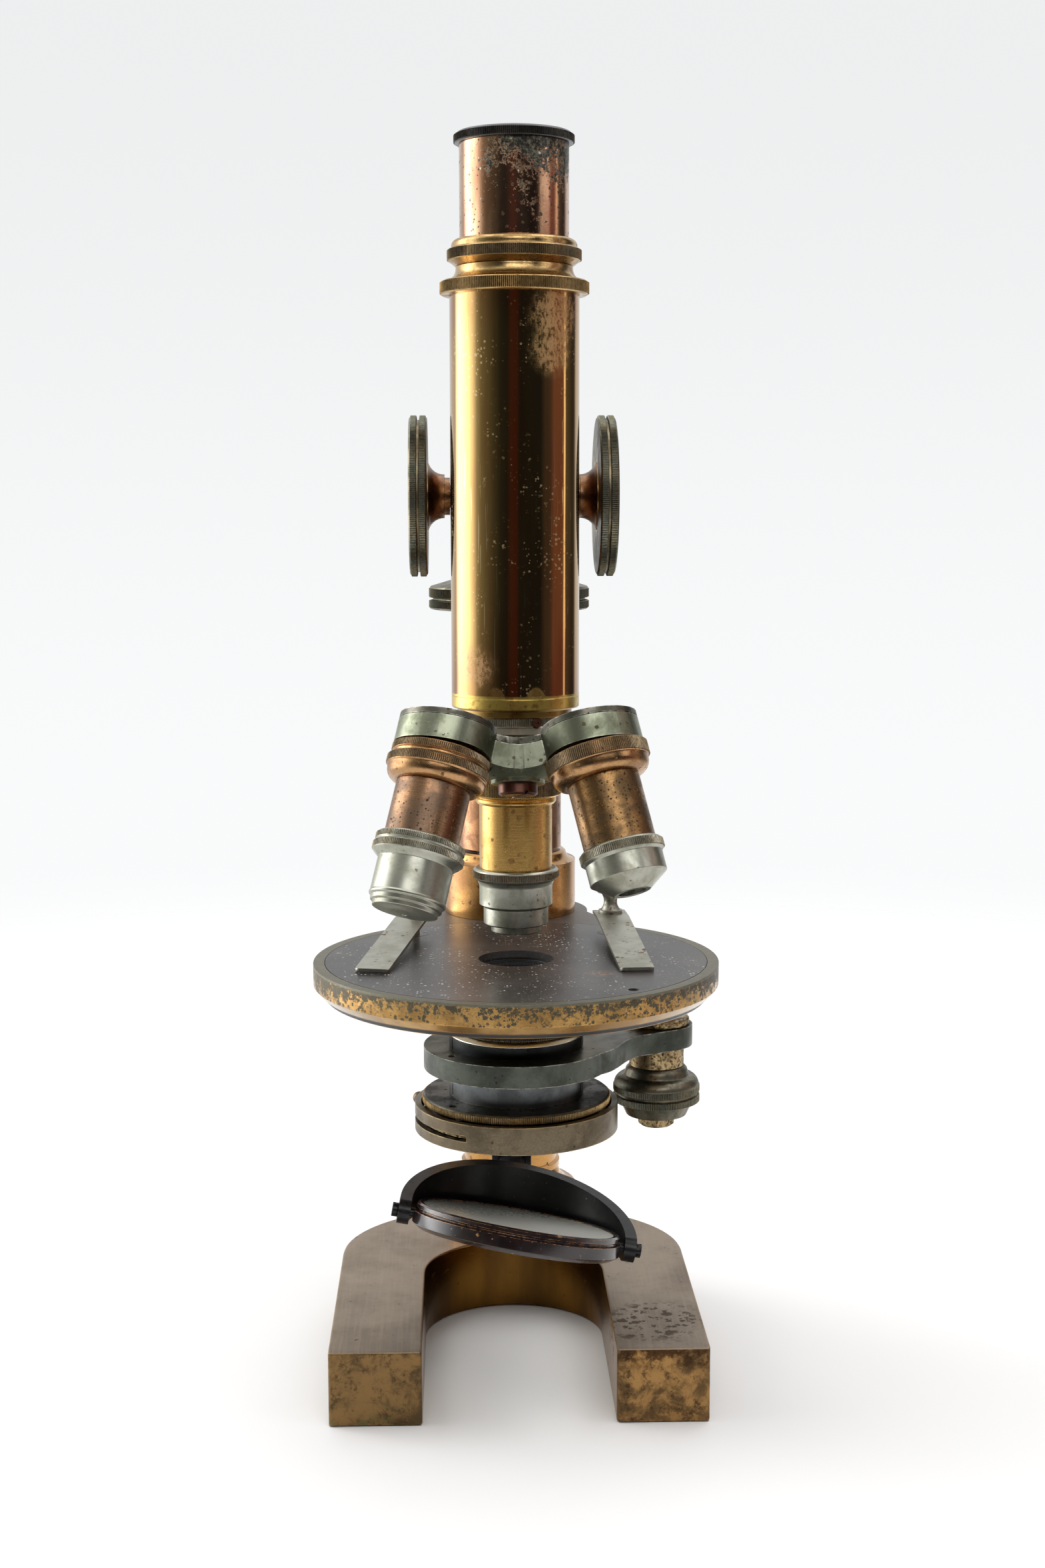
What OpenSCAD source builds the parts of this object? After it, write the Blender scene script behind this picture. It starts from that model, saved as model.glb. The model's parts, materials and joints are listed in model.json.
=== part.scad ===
// Brass compound microscope on a horseshoe foot.
// Frame: +Z up, +Y towards the back of the stand, origin on the table under the middle of the stand.
// Profiles are drawn about the optical axis; on_axis() then carries them into the part's frame.

/* [Stand] */
// Width of the horseshoe foot
foot_w = 92.6; // [86:0.2:96]
// Thickness of the foot
foot_h = 18.8; // [16:0.2:22]
// Distance from the optical axis forward to the toes of the foot
foot_front = 24.7; // [20:0.1:30]
// Distance from the optical axis back to the heel of the foot
foot_back = 83.5; // [83:0.1:90]
// Width of the gap between the toes
gap_w = 47.2; // [44:0.2:50]
// Distance from the optical axis back to the pillar axis
pillar_off = 65; // [64.5:0.1:66]
// Radius of the lower pillar
pillar_r = 12.95; // [12.5:0.05:13.5]
// Radius of the drum at the base of the pillar
pillar_base_r = 18.2; // [17:0.1:18.4]

/* [Stage] */
// Radius of the round stage
stage_r = 50; // [49:0.1:51]
// Height of the stage surface above the table
stage_top = 110; // [109:0.5:111]
// Thickness of the stage
stage_t = 8.5; // [8:0.1:9]
// Height of the straight band round the stage
rim_h = 5.2; // [4:0.1:6]
// Radius of the let-in vulcanite plate
plate_r = 47.1; // [46:0.1:47.4]
// Thickness of the vulcanite plate
plate_t = 2; // [1.5:0.1:2.5]
// Radius of the light hole in the plate
aperture_r = 9.3; // [8.8:0.1:10]
// Sideways distance of the clip pivots from the optical axis
clip_x = 25.6; // [24:0.1:27]
// Distance of the clip pivots behind the optical axis
clip_y = 31; // [29:0.5:33]
// Length of a clip blade in front of its pivot
clip_len = 48; // [40:0.5:50]
// Angle of the left clip outward from straight ahead
clip_angle_left = 11.6; // [0:0.1:20]
// Angle of the right clip outward from straight ahead
clip_angle_right = 3.8; // [0:0.1:20]

/* [Body tube] */
// Outer radius of the body tube
tube_r = 15.5; // [15:0.1:16]
// Height of the lower end of the body tube
tube_bottom = 170.9; // [170:0.1:172]
// Height of the upper end of the body tube
tube_top = 271; // [270:0.5:272]
// Outer radius of the draw tube
draw_r = 13; // [12.5:0.05:13.2]
// Height of the upper end of the draw tube
draw_top = 305.4; // [300:0.1:310]
// Radius of the eyepiece cap
cap_r = 14.1; // [13.5:0.1:15]
// Height of the eyepiece cap
cap_h = 2.5; // [2:0.1:3]

/* [Nosepiece] */
// Angle between the turret axis and each objective
turret_angle = 15; // [15:1:15]
// Distance from the crossing point of the axes to the objective shoulders
shoulder_dist = 79; // [78:0.5:80]
// Height of the objective shoulder at the working position
shoulder_z = 156.7; // [156:0.1:157]
// Thickness of the turning plate
turret_t = 5.5; // [5:0.1:6]
// Thickness of the fixed dust cover
cover_t = 1.35; // [1.2:0.05:1.6]
// Radius of each lobe of turret and cover
lobe_r = 11.4; // [11:0.1:12]

/* [Focusing] */
// Radius of the coarse focusing knobs
coarse_knob_r = 20; // [18:0.2:21]
// Height of the pinion axis
pinion_z = 223.5; // [222:0.5:225]
// Distance of the pinion axis behind the optical axis
pinion_y = 27.5; // [27.5:0.1:27.5]
// Number of pinion teeth
pinion_teeth = 14; // [14:1:14]
// Tooth module of rack and pinion
rack_module = 0.7; // [0.7:0.1:0.7]
// Radius of the fine focusing knob
fine_knob_r = 21.6; // [20:0.1:22]
// Height of the underside of the fine focusing knob
fine_knob_z = 193.3; // [193:0.1:194]
// Outer radius of the limb sleeve
limb_r = 14.2; // [14:0.1:14.5]
// Height of the lower end of the limb sleeve
limb_bottom = 128; // [128:0.1:129]

/* [Substage] */
// Sideways distance of the condenser post from the optical axis
post_x = 36.9; // [36:0.1:38]
// Distance of the condenser post behind the optical axis
post_y = 20; // [18:0.5:22]
// Outer radius of the condenser arm's ring
arm_r = 23; // [22:0.1:24]
// Thickness of the condenser arm
arm_t = 5.4; // [5:0.1:6]
// Height of the underside of the condenser arm
arm_z = 83.1; // [83:0.1:84]
// Radius of the iris drum
drum_r = 25.3; // [25:0.1:26]
// Height of the underside of the iris drum
drum_z = 67.4; // [67.4:0.1:68]
// Radius of the lift knob under the condenser post
lift_knob_r = 11; // [10:0.1:12]

/* [Mirror] */
// Height of the mirror centre
mirror_z = 40.3; // [40:0.1:40.5]
// Outer radius of the mirror case
mirror_r = 26.4; // [25:0.1:26.4]
// Roll of the mirror fork about its stem
mirror_roll = 10.7; // [-30:0.1:30]
// Tilt of the mirror between the fork's ends
mirror_tilt = -12.6; // [-60:0.1:60]

/* [Hidden] */
$fn = 96;
// Small overlap for cuts, and the usual clearances
eps = 0.01;
cut = 1;
run = 0.05;
gap = 0.1;

// The high objective reaches furthest forward and the fine knob furthest back
high_tip = 36.9;
high_tip_r = 8.3;
high_lean = 1.5 * sin(turret_angle) * cos(turret_angle);
front_reach = high_lean * (shoulder_dist + high_tip) + high_tip_r * sqrt(1 - high_lean * high_lean);
axis_y = -(pillar_off + fine_knob_r - front_reach) / 2;

turn_gap_y = 29;
stage_bottom = stage_top - stage_t;
recess_z = stage_top - plate_t;
bevel = 3.1;
bush_r = 3.4;
pin_r = 1.2;
screw_circle = 32;
screw_angles = [270, 150, 30];
accessory_hole = [26.2, -35.3];
accessory_r = 1.3;
socket_r = 18.1;
socket_top = 127.3;
socket_bore = 11.9;
tenon_r = 9;
draw_wall = 1.35;
eyepiece_r = draw_r - draw_wall - run;
eye_bore = eyepiece_r - 1;
rail_w = 10.8;
rail_front = 12.7;
rail_back = 9;
rail_bottom = 33;
stem_pin_r = 2.5;
stem_pin_end = pillar_off - 4;
bolt_r = 3.1;
bolt_head_r = 7.3;
bolt_head_h = 4.5;
bolt_recess = 6;
bolt_len = 28;

prism_r = 9.5;
prism_top = 176;
prism_foot = 6;
limb_top = 188;
channel_top = 184;
screw_r = 1.95;

pitch_r = rack_module * pinion_teeth / 2;
tooth_pitch = PI * rack_module;
shaft_r = 2.8;
gear_half = 3.5;
dove_front = 17.5;
dove_back = 21;
rack_low = 178;
rack_teeth = 25;
rack_root = pinion_y - pitch_r - 1.25 * rack_module;
rack_tip = pinion_y - pitch_r + rack_module;
block_low = 178;
block_high = 246;
block_back = 36;
block_half = 11;
boss_end = 15.4;

apex_z = shoulder_z + shoulder_dist;
station_r = shoulder_dist * sin(turret_angle);
station_z = -shoulder_dist * cos(turret_angle);
turret_gap = 0.15;
cover_low = turret_t + turret_gap;
cover_high = cover_low + cover_t;
thread_r = 8.5;
mount_neck_r = 10.3;
head_seat_r = 12.1;
fillet_r = 8;
fillet_at = 18.15;
mount_screw_angle = -69;
mount_screw_z = 169.7;
hub_r = 6.3;
hub_low = -82.3;
pivot_r = 3;
pivot_head_r = 4.6;

sleeve_r = 16.7;
sleeve_wall = 1.3;
sleeve_low = 76.4;
sleeve_top = 91.3;
slit_w = 0.6;
slit_angles = [90, 198, 342];
carriage_r = 7.05;
carriage_neck = 6;
post_r = 5;
post_low = 73.5;
carriage_low = 77.6;
carriage_top = 90.4;
lift_screw_r = 2.4;
lift_knob_low = 64.5;
flange_r = 23.2;
drum_h = 6.8;
drum_wall = 1.6;
slot_low = 2.55;
slot_h = 1.3;
slot_from = 142;
slot_to = 240;
lever_angle = 149;
leaf_count = 8;

fork_inner = mirror_r + 0.9;
fork_wall = 3;
ear_r = 3.2;
bow_half = 8;
glass_r = 24.2;

// ---- helpers ----

module on_axis() translate([0, axis_y, 0]) children();

module on_pillar() translate([0, axis_y + pillar_off, 0]) children();

module on_post() translate([post_x, axis_y + post_y, 0]) children();

// Solid of revolution about +Z from [radius, height] points
module turned(points) rotate_extrude() polygon(points);

// Cylinder about +Z from a lower to an upper height
module rod(r, low, high) translate([0, 0, low]) cylinder(r = r, h = high - low);

// Cylinder about +X between two places
module cross_rod(r, from, to) translate([from, 0, 0]) rotate([0, 90, 0]) cylinder(r = r, h = to - from);

// Points on an arc in a profile
function arc(cx, cy, r, a0, a1, n = 8) =
    [for (i = [0 : n]) let (a = a0 + (a1 - a0) * i / n) [cx + r * cos(a), cy + r * sin(a)]];

// Frame of the turret: origin where all axes cross, -Z along the turret axis
module turret_frame() on_axis() translate([0, 0, apex_z]) rotate([-turret_angle, 0, 0]) children();

// Frame of one objective: -Z along the objective, shoulder at z = 0
module station(k) turret_frame() rotate([0, 0, 120 * k]) rotate([turret_angle, 0, 0])
    translate([0, 0, -shoulder_dist]) children();

// Objective profiles use [radius, depth below the shoulder]
function down(points) = [for (p = points) [p[0], -p[1]]];

// ---- stand ----

module horseshoe() {
    half = foot_w / 2;
    turn_y = 45;
    heel = foot_back - turn_y;
    sweep = [for (i = [0 : 48]) let (a = 180 * i / 48) [half * cos(a), turn_y + heel * sin(a)]];
    difference() {
        polygon(concat([[half, -foot_front]], sweep, [[-half, -foot_front]]));
        translate([0, turn_gap_y]) circle(r = gap_w / 2);
        translate([-gap_w / 2, -foot_front - cut]) square([gap_w, foot_front + turn_gap_y + cut]);
    }
}

module foot() {
    color([0.52, 0.46, 0.36]) difference() {
        on_axis() linear_extrude(foot_h) horseshoe();
        on_pillar() rod(bolt_r, -cut, foot_h + cut);
        on_pillar() rod(bolt_head_r + gap, -cut, bolt_recess);
    }
}

module pillar() {
    base_top = 31.8;
    neck_z = 36.4;
    color([0.70, 0.52, 0.24]) difference() {
        on_pillar() turned(concat(
            [[0, foot_h], [pillar_base_r, foot_h], [pillar_base_r, base_top]],
            arc(pillar_base_r, neck_z + 0.4, 4.6, 262, 190, 7),
            [[pillar_r, 36.9], [pillar_r + 0.85, 37.3], [pillar_r + 0.85, 38.8], [pillar_r, 39.2],
             [pillar_r, stage_bottom], [tenon_r, stage_bottom], [tenon_r, stage_top], [0, stage_top]]));
        on_pillar() rod(bolt_r, foot_h - cut, bolt_recess + bolt_len);
        on_pillar() translate([-rail_w / 2, -pillar_base_r - cut, rail_bottom])
            cube([rail_w, pillar_base_r + cut - rail_back, stage_bottom - rail_bottom]);
        on_axis() translate([0, stem_pin_end, mirror_z]) rotate([90, 0, 0])
            cylinder(r = stem_pin_r + run, h = 20);
    }
}

module mirror_rail() {
    color([0.06, 0.06, 0.06]) difference() {
        on_pillar() translate([-rail_w / 2, -rail_front, rail_bottom])
            cube([rail_w, rail_front - rail_back, stage_bottom - rail_bottom]);
        on_axis() translate([0, stem_pin_end, mirror_z]) rotate([90, 0, 0])
            cylinder(r = stem_pin_r + run, h = 20);
    }
}

module pillar_bolt() {
    head_low = bolt_recess - bolt_head_h;
    color([0.35, 0.36, 0.38]) on_pillar() difference() {
        union() {
            rod(bolt_head_r, head_low, bolt_recess);
            rod(bolt_r, bolt_recess - eps, bolt_recess + bolt_len);
        }
        translate([-0.8, -bolt_head_r - cut, head_low - cut]) cube([1.6, 2 * (bolt_head_r + cut), cut + 1.6]);
    }
}

module screw_places() for (a = screw_angles) rotate([0, 0, a]) translate([screw_circle, 0, 0]) children();

module clip_places() for (s = [-1, 1]) translate([s * clip_x, clip_y, 0]) children();

module stage_body() {
    rear_r = 21.5;
    well_r = 16;
    ledge_r = 8.4;
    ledge_z = recess_z - 1.5;
    color([0.66, 0.50, 0.26]) difference() {
        union() {
            on_axis() turned([[0, stage_bottom], [stage_r - bevel, stage_bottom],
                [stage_r, stage_top - rim_h], [stage_r, stage_top], [0, stage_top]]);
            on_pillar() rod(rear_r, stage_bottom, stage_top);
            on_axis() translate([0, 0, stage_bottom]) linear_extrude(stage_t)
                polygon([[-34, 30], [34, 30],
                    [rear_r - 0.4, pillar_off - 4], [0.4 - rear_r, pillar_off - 4]]);
        }
        on_axis() rod(plate_r + gap, recess_z, stage_top + cut);
        on_axis() rod(ledge_r, stage_bottom - cut, stage_top);
        on_axis() rod(well_r, stage_bottom - cut, ledge_z);
        on_pillar() rod(tenon_r, stage_bottom - cut, stage_top + cut);
        on_axis() clip_places() rod(bush_r, stage_bottom - cut, stage_top + cut);
        on_axis() screw_places() stage_screw();
        on_axis() translate(accessory_hole) rod(accessory_r, stage_bottom - cut, stage_top + cut);
    }
}

module stage_plate() {
    color([0.10, 0.10, 0.11]) on_axis() difference() {
        rod(plate_r, recess_z, stage_top);
        rod(aperture_r, recess_z - cut, stage_top + cut);
        clip_places() rod(bush_r, recess_z - cut, stage_top + cut);
        screw_places() stage_screw();
        translate(accessory_hole) rod(accessory_r, recess_z - cut, stage_top + cut);
    }
}

module stage_screw() {
    rod(2.6, stage_bottom, stage_bottom + 1.8);
    rod(1.5, stage_bottom, stage_top - 1);
}

module stage_screws() {
    color([0.55, 0.45, 0.25]) on_axis() screw_places() difference() {
        stage_screw();
        translate([-3, -0.3, stage_bottom - cut]) cube([6, 0.6, cut + 0.7]);
    }
}

module clip_bushes() {
    color([0.45, 0.42, 0.36]) on_axis() clip_places() difference() {
        rod(bush_r, stage_bottom, stage_top);
        rod(pin_r + run, stage_bottom - cut, stage_top + cut);
    }
}

module column_socket() {
    shoulder_low = 124.5;
    color([0.72, 0.53, 0.24]) on_pillar() turned(concat(
        [[socket_bore, stage_top], [socket_r, stage_top], [socket_r, shoulder_low]],
        arc(socket_r + 0.2, socket_top - 0.1, 2.9, 265, 190, 7),
        [[14.7, socket_top], [socket_bore, socket_top]]));
}

// Triangular bar with its corners cut, one flat to the front
module prism_outline(r) {
    intersection() {
        rotate(90) circle(r = r * 1.35, $fn = 3);
        circle(r = r);
    }
}

module prism_column() {
    color([0.55, 0.56, 0.58]) on_pillar() difference() {
        union() {
            rod(socket_bore, stage_top, stage_top + prism_foot);
            translate([0, 0, stage_top + prism_foot - eps])
                linear_extrude(prism_top - stage_top - prism_foot) prism_outline(prism_r);
        }
        rod(screw_r + run, prism_top - 26, prism_top + cut);
    }
}

// Helical spring as one closed tube, a ring of corners at every step of the wire
module coil(r, wire, low, high, turns, steps = 14, sides = 6) {
    n = turns * steps;
    pts = [for (i = [0 : n], j = [0 : sides - 1])
        let (a = 360 * i / steps, b = 360 * j / sides, q = r + wire * cos(b))
        [q * cos(a), q * sin(a), low + wire + (high - low - 2 * wire) * i / n + wire * sin(b)]];
    walls = [for (i = [0 : n - 1], j = [0 : sides - 1]) let (k = (j + 1) % sides)
        [i * sides + j, i * sides + k, (i + 1) * sides + k, (i + 1) * sides + j]];
    caps = [[for (j = [sides - 1 : -1 : 0]) j], [for (j = [0 : sides - 1]) n * sides + j]];
    polyhedron(points = pts, faces = concat(walls, caps));
}

module limb_spring() {
    color([0.5, 0.5, 0.52]) on_pillar() coil(3.4, 0.45, prism_top + gap, channel_top - gap, 4);
}

module condenser_post() {
    color([0.60, 0.50, 0.34]) on_post() difference() {
        rod(post_r, post_low, stage_bottom);
        rod(lift_screw_r + run, post_low - cut, stage_bottom - 1.5);
    }
}

// ---- limb and fine focus ----

module limb_arm() {
    // Side view of the arm between sleeve and guide block, [y, z]
    side = concat([[block_back - 4, block_low]], arc(36, 150, 16, 90, 10, 8),
        [[pillar_off - 6, 150], [pillar_off - 6, limb_top], [46, limb_top]],
        arc(46, 198, 10, 270, 180, 6), [[block_back - 4, 198]]);
    translate([10, 0, 0]) rotate([0, -90, 0])
        linear_extrude(20) polygon([for (p = side) [p[1], p[0]]]);
}

module guide_block() {
    difference() {
        union() {
            translate([-block_half, dove_front + 0.3, block_low])
                cube([2 * block_half, block_back - dove_front - 0.3, block_high - block_low]);
            translate([0, pinion_y, pinion_z]) cross_rod(6.8, -boss_end, boss_end);
        }
        translate([0, 0, block_low - cut]) linear_extrude(block_high - block_low + 2 * cut)
            dovetail(run, dove_front - cut);
        translate([-2.8, dove_back, block_low - cut])
            cube([5.6, rack_tip + 0.3 - dove_back, block_high - block_low + 2 * cut]);
        translate([0, pinion_y, pinion_z]) {
            cross_rod(shaft_r + run, -boss_end - cut, boss_end + cut);
            cross_rod(pitch_r + rack_module + 0.4, -gear_half - 0.3, gear_half + 0.3);
        }
    }
}

// Dovetail of the tube's slide, grown by g on its flanks
module dovetail(g, front) {
    polygon([[-4.5 - g, front], [4.5 + g, front], [4.5 + g, dove_front], [6.5 + g, dove_back + g],
        [-6.5 - g, dove_back + g], [-4.5 - g, dove_front]]);
}

module limb() {
    color([0.62, 0.45, 0.24]) difference() {
        union() {
            on_pillar() turned([[0, limb_bottom], [limb_r, limb_bottom], [limb_r, limb_top - 1],
                [limb_r - 1, limb_top], [9, limb_top], [9, fine_knob_z - 0.6], [0, fine_knob_z - 0.6]]);
            on_axis() limb_arm();
            on_axis() guide_block();
        }
        on_pillar() translate([0, 0, limb_bottom - cut]) linear_extrude(channel_top - limb_bottom + cut)
            prism_outline(prism_r + run);
        on_pillar() rod(screw_r + run, channel_top - cut, fine_knob_z + cut);
    }
}

module fine_knob() {
    z = fine_knob_z;
    r = fine_knob_r;
    color([0.36, 0.36, 0.28]) on_pillar() difference() {
        turned([[0, z], [r - 1, z], [r - 0.2, z + 0.2], [r, z + 0.5], [r, z + 2.5], [r - 0.9, z + 2.7],
            [r - 0.9, z + 3.1], [r, z + 3.3], [r, z + 5.8], [r - 0.3, z + 6.3], [r - 1, z + 6.5],
            [9, z + 10], [6.5, z + 10.2], [6.5, z + 11.7], [0, z + 11.7]]);
        rod(screw_r, z - cut, z + 12 + cut);
    }
}

module fine_screw() {
    head_low = fine_knob_z + 11.7;
    color([0.5, 0.5, 0.52]) on_pillar() difference() {
        union() {
            rod(screw_r, 158, head_low + eps);
            turned([[0, head_low], [4, head_low], [4, head_low + 0.9],
                [3.2, head_low + 1.4], [0, head_low + 1.5]]);
        }
        translate([-5, -0.35, head_low + 0.7]) cube([10, 0.7, cut]);
    }
}

// ---- body tube ----

module body_tube() {
    step_r = 13.7;
    spigot_r = 12.5;
    inner_r = 14.4;
    floor_z = 180;
    band_z = 175.4;
    color([0.78, 0.58, 0.22]) on_axis() turned([[spigot_r, tube_bottom], [step_r, tube_bottom],
        [step_r, tube_bottom + 1.5], [tube_r - 0.3, tube_bottom + 1.7], [tube_r, tube_bottom + 2],
        [tube_r, band_z], [tube_r - 0.12, band_z + 0.1], [tube_r, band_z + 0.2],
        [tube_r, tube_top], [inner_r, tube_top], [inner_r, floor_z], [spigot_r, floor_z]]);
}

module slide_bar() {
    color([0.62, 0.48, 0.24]) on_axis() translate([0, 0, block_low]) difference() {
        linear_extrude(250 - block_low) union() {
            translate([-6, 11]) square([12, dove_front - 11]);
            dovetail(0, dove_front - 1);
        }
        translate([0, 0, -cut]) cylinder(r = tube_r, h = 80);
    }
}

module rack_tooth(z) {
    // A little thinner than the space between two pinion teeth
    root_half = 0.30 * tooth_pitch;
    tip_half = 0.10 * tooth_pitch;
    translate([0, 0, z]) rotate([90, 0, 90]) linear_extrude(5, center = true)
        polygon([[rack_root - eps, -root_half], [rack_tip, -tip_half],
            [rack_tip, tip_half], [rack_root - eps, root_half]]);
}

module rack() {
    length = rack_teeth * tooth_pitch;
    // The pinion has a tooth pointing at the rack, so a space of the rack lies at the pinion's height
    first = pinion_z - tooth_pitch * (floor((pinion_z - rack_low) / tooth_pitch) - 0.5);
    color([0.60, 0.48, 0.28]) on_axis() union() {
        translate([-2.5, dove_back, rack_low]) cube([5, rack_root - dove_back, length]);
        for (i = [0 : rack_teeth - 2]) rack_tooth(first + i * tooth_pitch);
    }
}

module draw_collar() {
    ring_r = 17.6;
    waist_r = 13.95;
    color([0.70, 0.54, 0.28]) on_axis() turned(concat(
        [[draw_r + run, 240], [14.4, 240], [14.4, tube_top], [tube_r, tube_top], [tube_r, 270.5],
         [ring_r - 0.4, 270.5], [ring_r, 270.9], [ring_r, 273.4], [ring_r - 0.4, 273.8]],
        arc(16.9, 276.7, 2.95, 272, 182, 8),
        [[waist_r, 277.1], [draw_r + run, 277.1]]));
}

module collar_ring() {
    color([0.66, 0.52, 0.28]) on_axis() turned(concat(
        [[draw_r + run, 277.1], [13.7, 277.1], [14.2, 277.4], [15.2, 278.2], [15.8, 278.5], [15.8, 281.0],
         [15.4, 281.3], [14.9, 281.4]],
        arc(13.5, 281.9, 1.5, 5, 90, 5),
        [[draw_r + run, 283.4]]));
}

module nosepiece_mount() {
    cover_top = shoulder_z + cover_high;
    color([0.66, 0.66, 0.62]) on_axis() difference() {
        turned([[8, cover_top], [mount_neck_r, cover_top], [mount_neck_r, 166.2],
            [12.7, 166.9], [12.7, 168.4], [13.2, 168.6], [13.3, 168.9], [13.3, 170.6],
            [13.1, tube_bottom], [12.5, tube_bottom], [12.5, 178], [8, 178]]);
        rotate([0, 0, mount_screw_angle]) translate([0, 0, mount_screw_z]) cross_rod(1, mount_neck_r, 14);
    }
}

// ---- nosepiece ----

// Outline of turret and cover: three lobes are added by their own axes, this is the web between them
module web_outline() {
    difference() {
        polygon([for (k = [0 : 2]) station_r * [cos(90 + 120 * k), sin(90 + 120 * k)]]);
        for (k = [0 : 2]) rotate(30 + 120 * k) translate([fillet_at, 0]) circle(r = fillet_r);
    }
}

// Height of a surface of the dished plates at a radius, h above the shoulders
function dish(r, h) = station_z + (h + (r - station_r) * sin(turret_angle)) / cos(turret_angle);

// Space between two dished surfaces, deeper near the hub
module dish_ring(h0, h1, dip = 1.8) {
    hub = 8;
    outer = 12.5;
    far = 40;
    turned([[0, dish(hub, h0) - dip], [hub, dish(hub, h0) - dip], [outer, dish(outer, h0)],
        [far, dish(far, h0)], [far, dish(far, h1)], [outer, dish(outer, h1)],
        [hub, dish(hub, h1) - dip], [0, dish(hub, h1) - dip]]);
}

module trefoil(h0, h1) {
    intersection() {
        dish_ring(h0, h1);
        union() {
            for (k = [0 : 2]) rotate([0, 0, 120 * k]) rotate([turret_angle, 0, 0])
                translate([0, 0, -shoulder_dist - 14]) cylinder(r = lobe_r, h = 34);
            translate([0, 0, -100]) linear_extrude(60) web_outline();
        }
    }
}

module dust_cover() {
    color([0.44, 0.46, 0.42]) difference() {
        union() {
            turret_frame() trefoil(cover_low, cover_high);
            on_axis() translate([-2.6, -14.2, shoulder_z + cover_high - 1.2]) cube([5.2, 3.9, 3.2]);
        }
        on_axis() rod(8, shoulder_z, shoulder_z + 20);
        on_axis() rod(mount_neck_r, shoulder_z + cover_high, shoulder_z + 20);
        turret_frame() rod(pivot_r, -100, -60);
    }
}

module turret_screw() {
    head_low = hub_low - 2.8;
    color([0.22, 0.10, 0.08]) turret_frame() difference() {
        union() {
            turned([[0, head_low], [pivot_head_r - 0.6, head_low], [pivot_head_r, head_low + 0.5],
                [pivot_head_r, hub_low - gap], [0, hub_low - gap]]);
            rod(pivot_r, hub_low - gap - eps, dish(8, cover_high) - 1.8);
        }
        rotate([0, 0, 25]) translate([-0.45, -6, head_low - cut]) cube([0.9, 12, cut + 0.9]);
    }
}

module turret() {
    color([0.46, 0.48, 0.44]) difference() {
        turret_frame() union() {
            trefoil(0, turret_t);
            rod(hub_r, hub_low, dish(8, 1) - 1.8);
        }
        turret_frame() rod(pivot_r + run, -100, -60);
        for (k = [0 : 2]) station(k) {
            rod(thread_r, -cut - 4, 12);
            rod(head_seat_r, -12, 0);
        }
    }
}

// Head of an objective: thread into the turret, milled ring, seat for the barrel
module objective_head(k, outline, seat_depth, bore) {
    station(k) difference() {
        turned(concat([[0, turret_t - 0.4], [thread_r, turret_t - 0.4]], down(outline), [[0, -seat_depth]]));
        rod(bore, -seat_depth - cut, turret_t + cut);
    }
}

module objective_tube(k, r, wall, from, to) {
    station(k) difference() {
        rod(r, -to, -from);
        rod(r - wall, -to - cut, -from + cut);
    }
}

module objective_nose(k, outline, inner_r, tip_r, top, tip) {
    station(k) difference() {
        turned(concat([[0, -top]], down(outline), [[0, -tip]]));
        rod(inner_r, -tip + 4, -top + cut);
        rod(tip_r, -tip - cut, -tip + 4 + eps);
    }
}

module medium_mount() color([0.68, 0.52, 0.24])
    objective_head(0, [[thread_r, 0], [10.5, 0], [10.95, 0.4], [10.95, 5.4], [10.6, 5.8], [9.5, 6.1],
        [9.95, 6.5], [9.95, 7.2], [9.4, 7.8]], 7.8, 6);

module medium_barrel() color([0.80, 0.62, 0.26]) objective_tube(0, 8.9, 1.2, 7.8, 23.7);

module medium_nose() color([0.66, 0.66, 0.60])
    objective_nose(0, [[9.9, 23.7], [10.45, 24.2], [10.45, 26], [10, 26.5], [9.5, 26.7], [8.96, 28.1],
        [8.96, 32.8], [8.3, 33.2], [7.95, 33.4], [7.95, 37.5], [7.5, 37.8], [6.1, 37.9],
        [6.1, 39.5], [5.8, 39.8]],
        6, 2.5, 23.7, 39.8);

module high_mount() color([0.66, 0.48, 0.28])
    objective_head(1, concat([[thread_r, 0], [11, 0], [11.3, 0.3], [11.3, 1.9], [10.9, 2.2], [10.9, 2.8],
        [11.4, 2.9], [11.85, 3.3], [11.85, 5.1], [11.5, 5.5]],
        [for (i = [0 : 6]) let (a = 15 * i) [9 + 2.5 * cos(a), 5.9 + 2.7 * sin(a)]]), 8.6, 6);

module high_barrel() color([0.50, 0.36, 0.24]) objective_tube(1, 8.68, 1.2, 8.6, 21.3);

module high_nose() color([0.66, 0.68, 0.62])
    objective_nose(1, [[9.8, 21.3], [10.2, 21.7], [10.2, 23], [9.9, 23.4], [10.45, 23.8], [10.45, 25.4],
        [10, 25.9], [9.7, 26.1], [8.75, 27], [8.75, 34.9], [8.95, 35.2], [8.8, 35.7],
        [high_tip_r, 35.9], [high_tip_r, high_tip],
        [7.6, 37.1], [7.6, 38.1], [6.6, 38.2], [4, 38.75], [1, 38.9]],
        6, 0.6, 21.3, 38.9);

module low_mount() color([0.62, 0.46, 0.26])
    objective_head(2, concat([[thread_r, 0], [11.5, 0], [11.9, 0.4], [11.9, 3.4], [11.6, 3.7]],
        [for (i = [0 : 6]) let (a = 15 * i) [9 + 2.5 * cos(a), 4.2 + 2.9 * sin(a)]]), 7.1, 6);

module low_barrel() color([0.58, 0.42, 0.22]) objective_tube(2, 8.4, 1.2, 7.1, 22.9);

module low_nose() color([0.62, 0.64, 0.58])
    objective_nose(2, [[9.2, 22.9], [9.65, 23.4], [9.65, 25.4], [9.2, 25.9], [9, 26.1], [9, 30.6], [4.3, 34]],
        6, 3.2, 22.9, 34);

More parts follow.
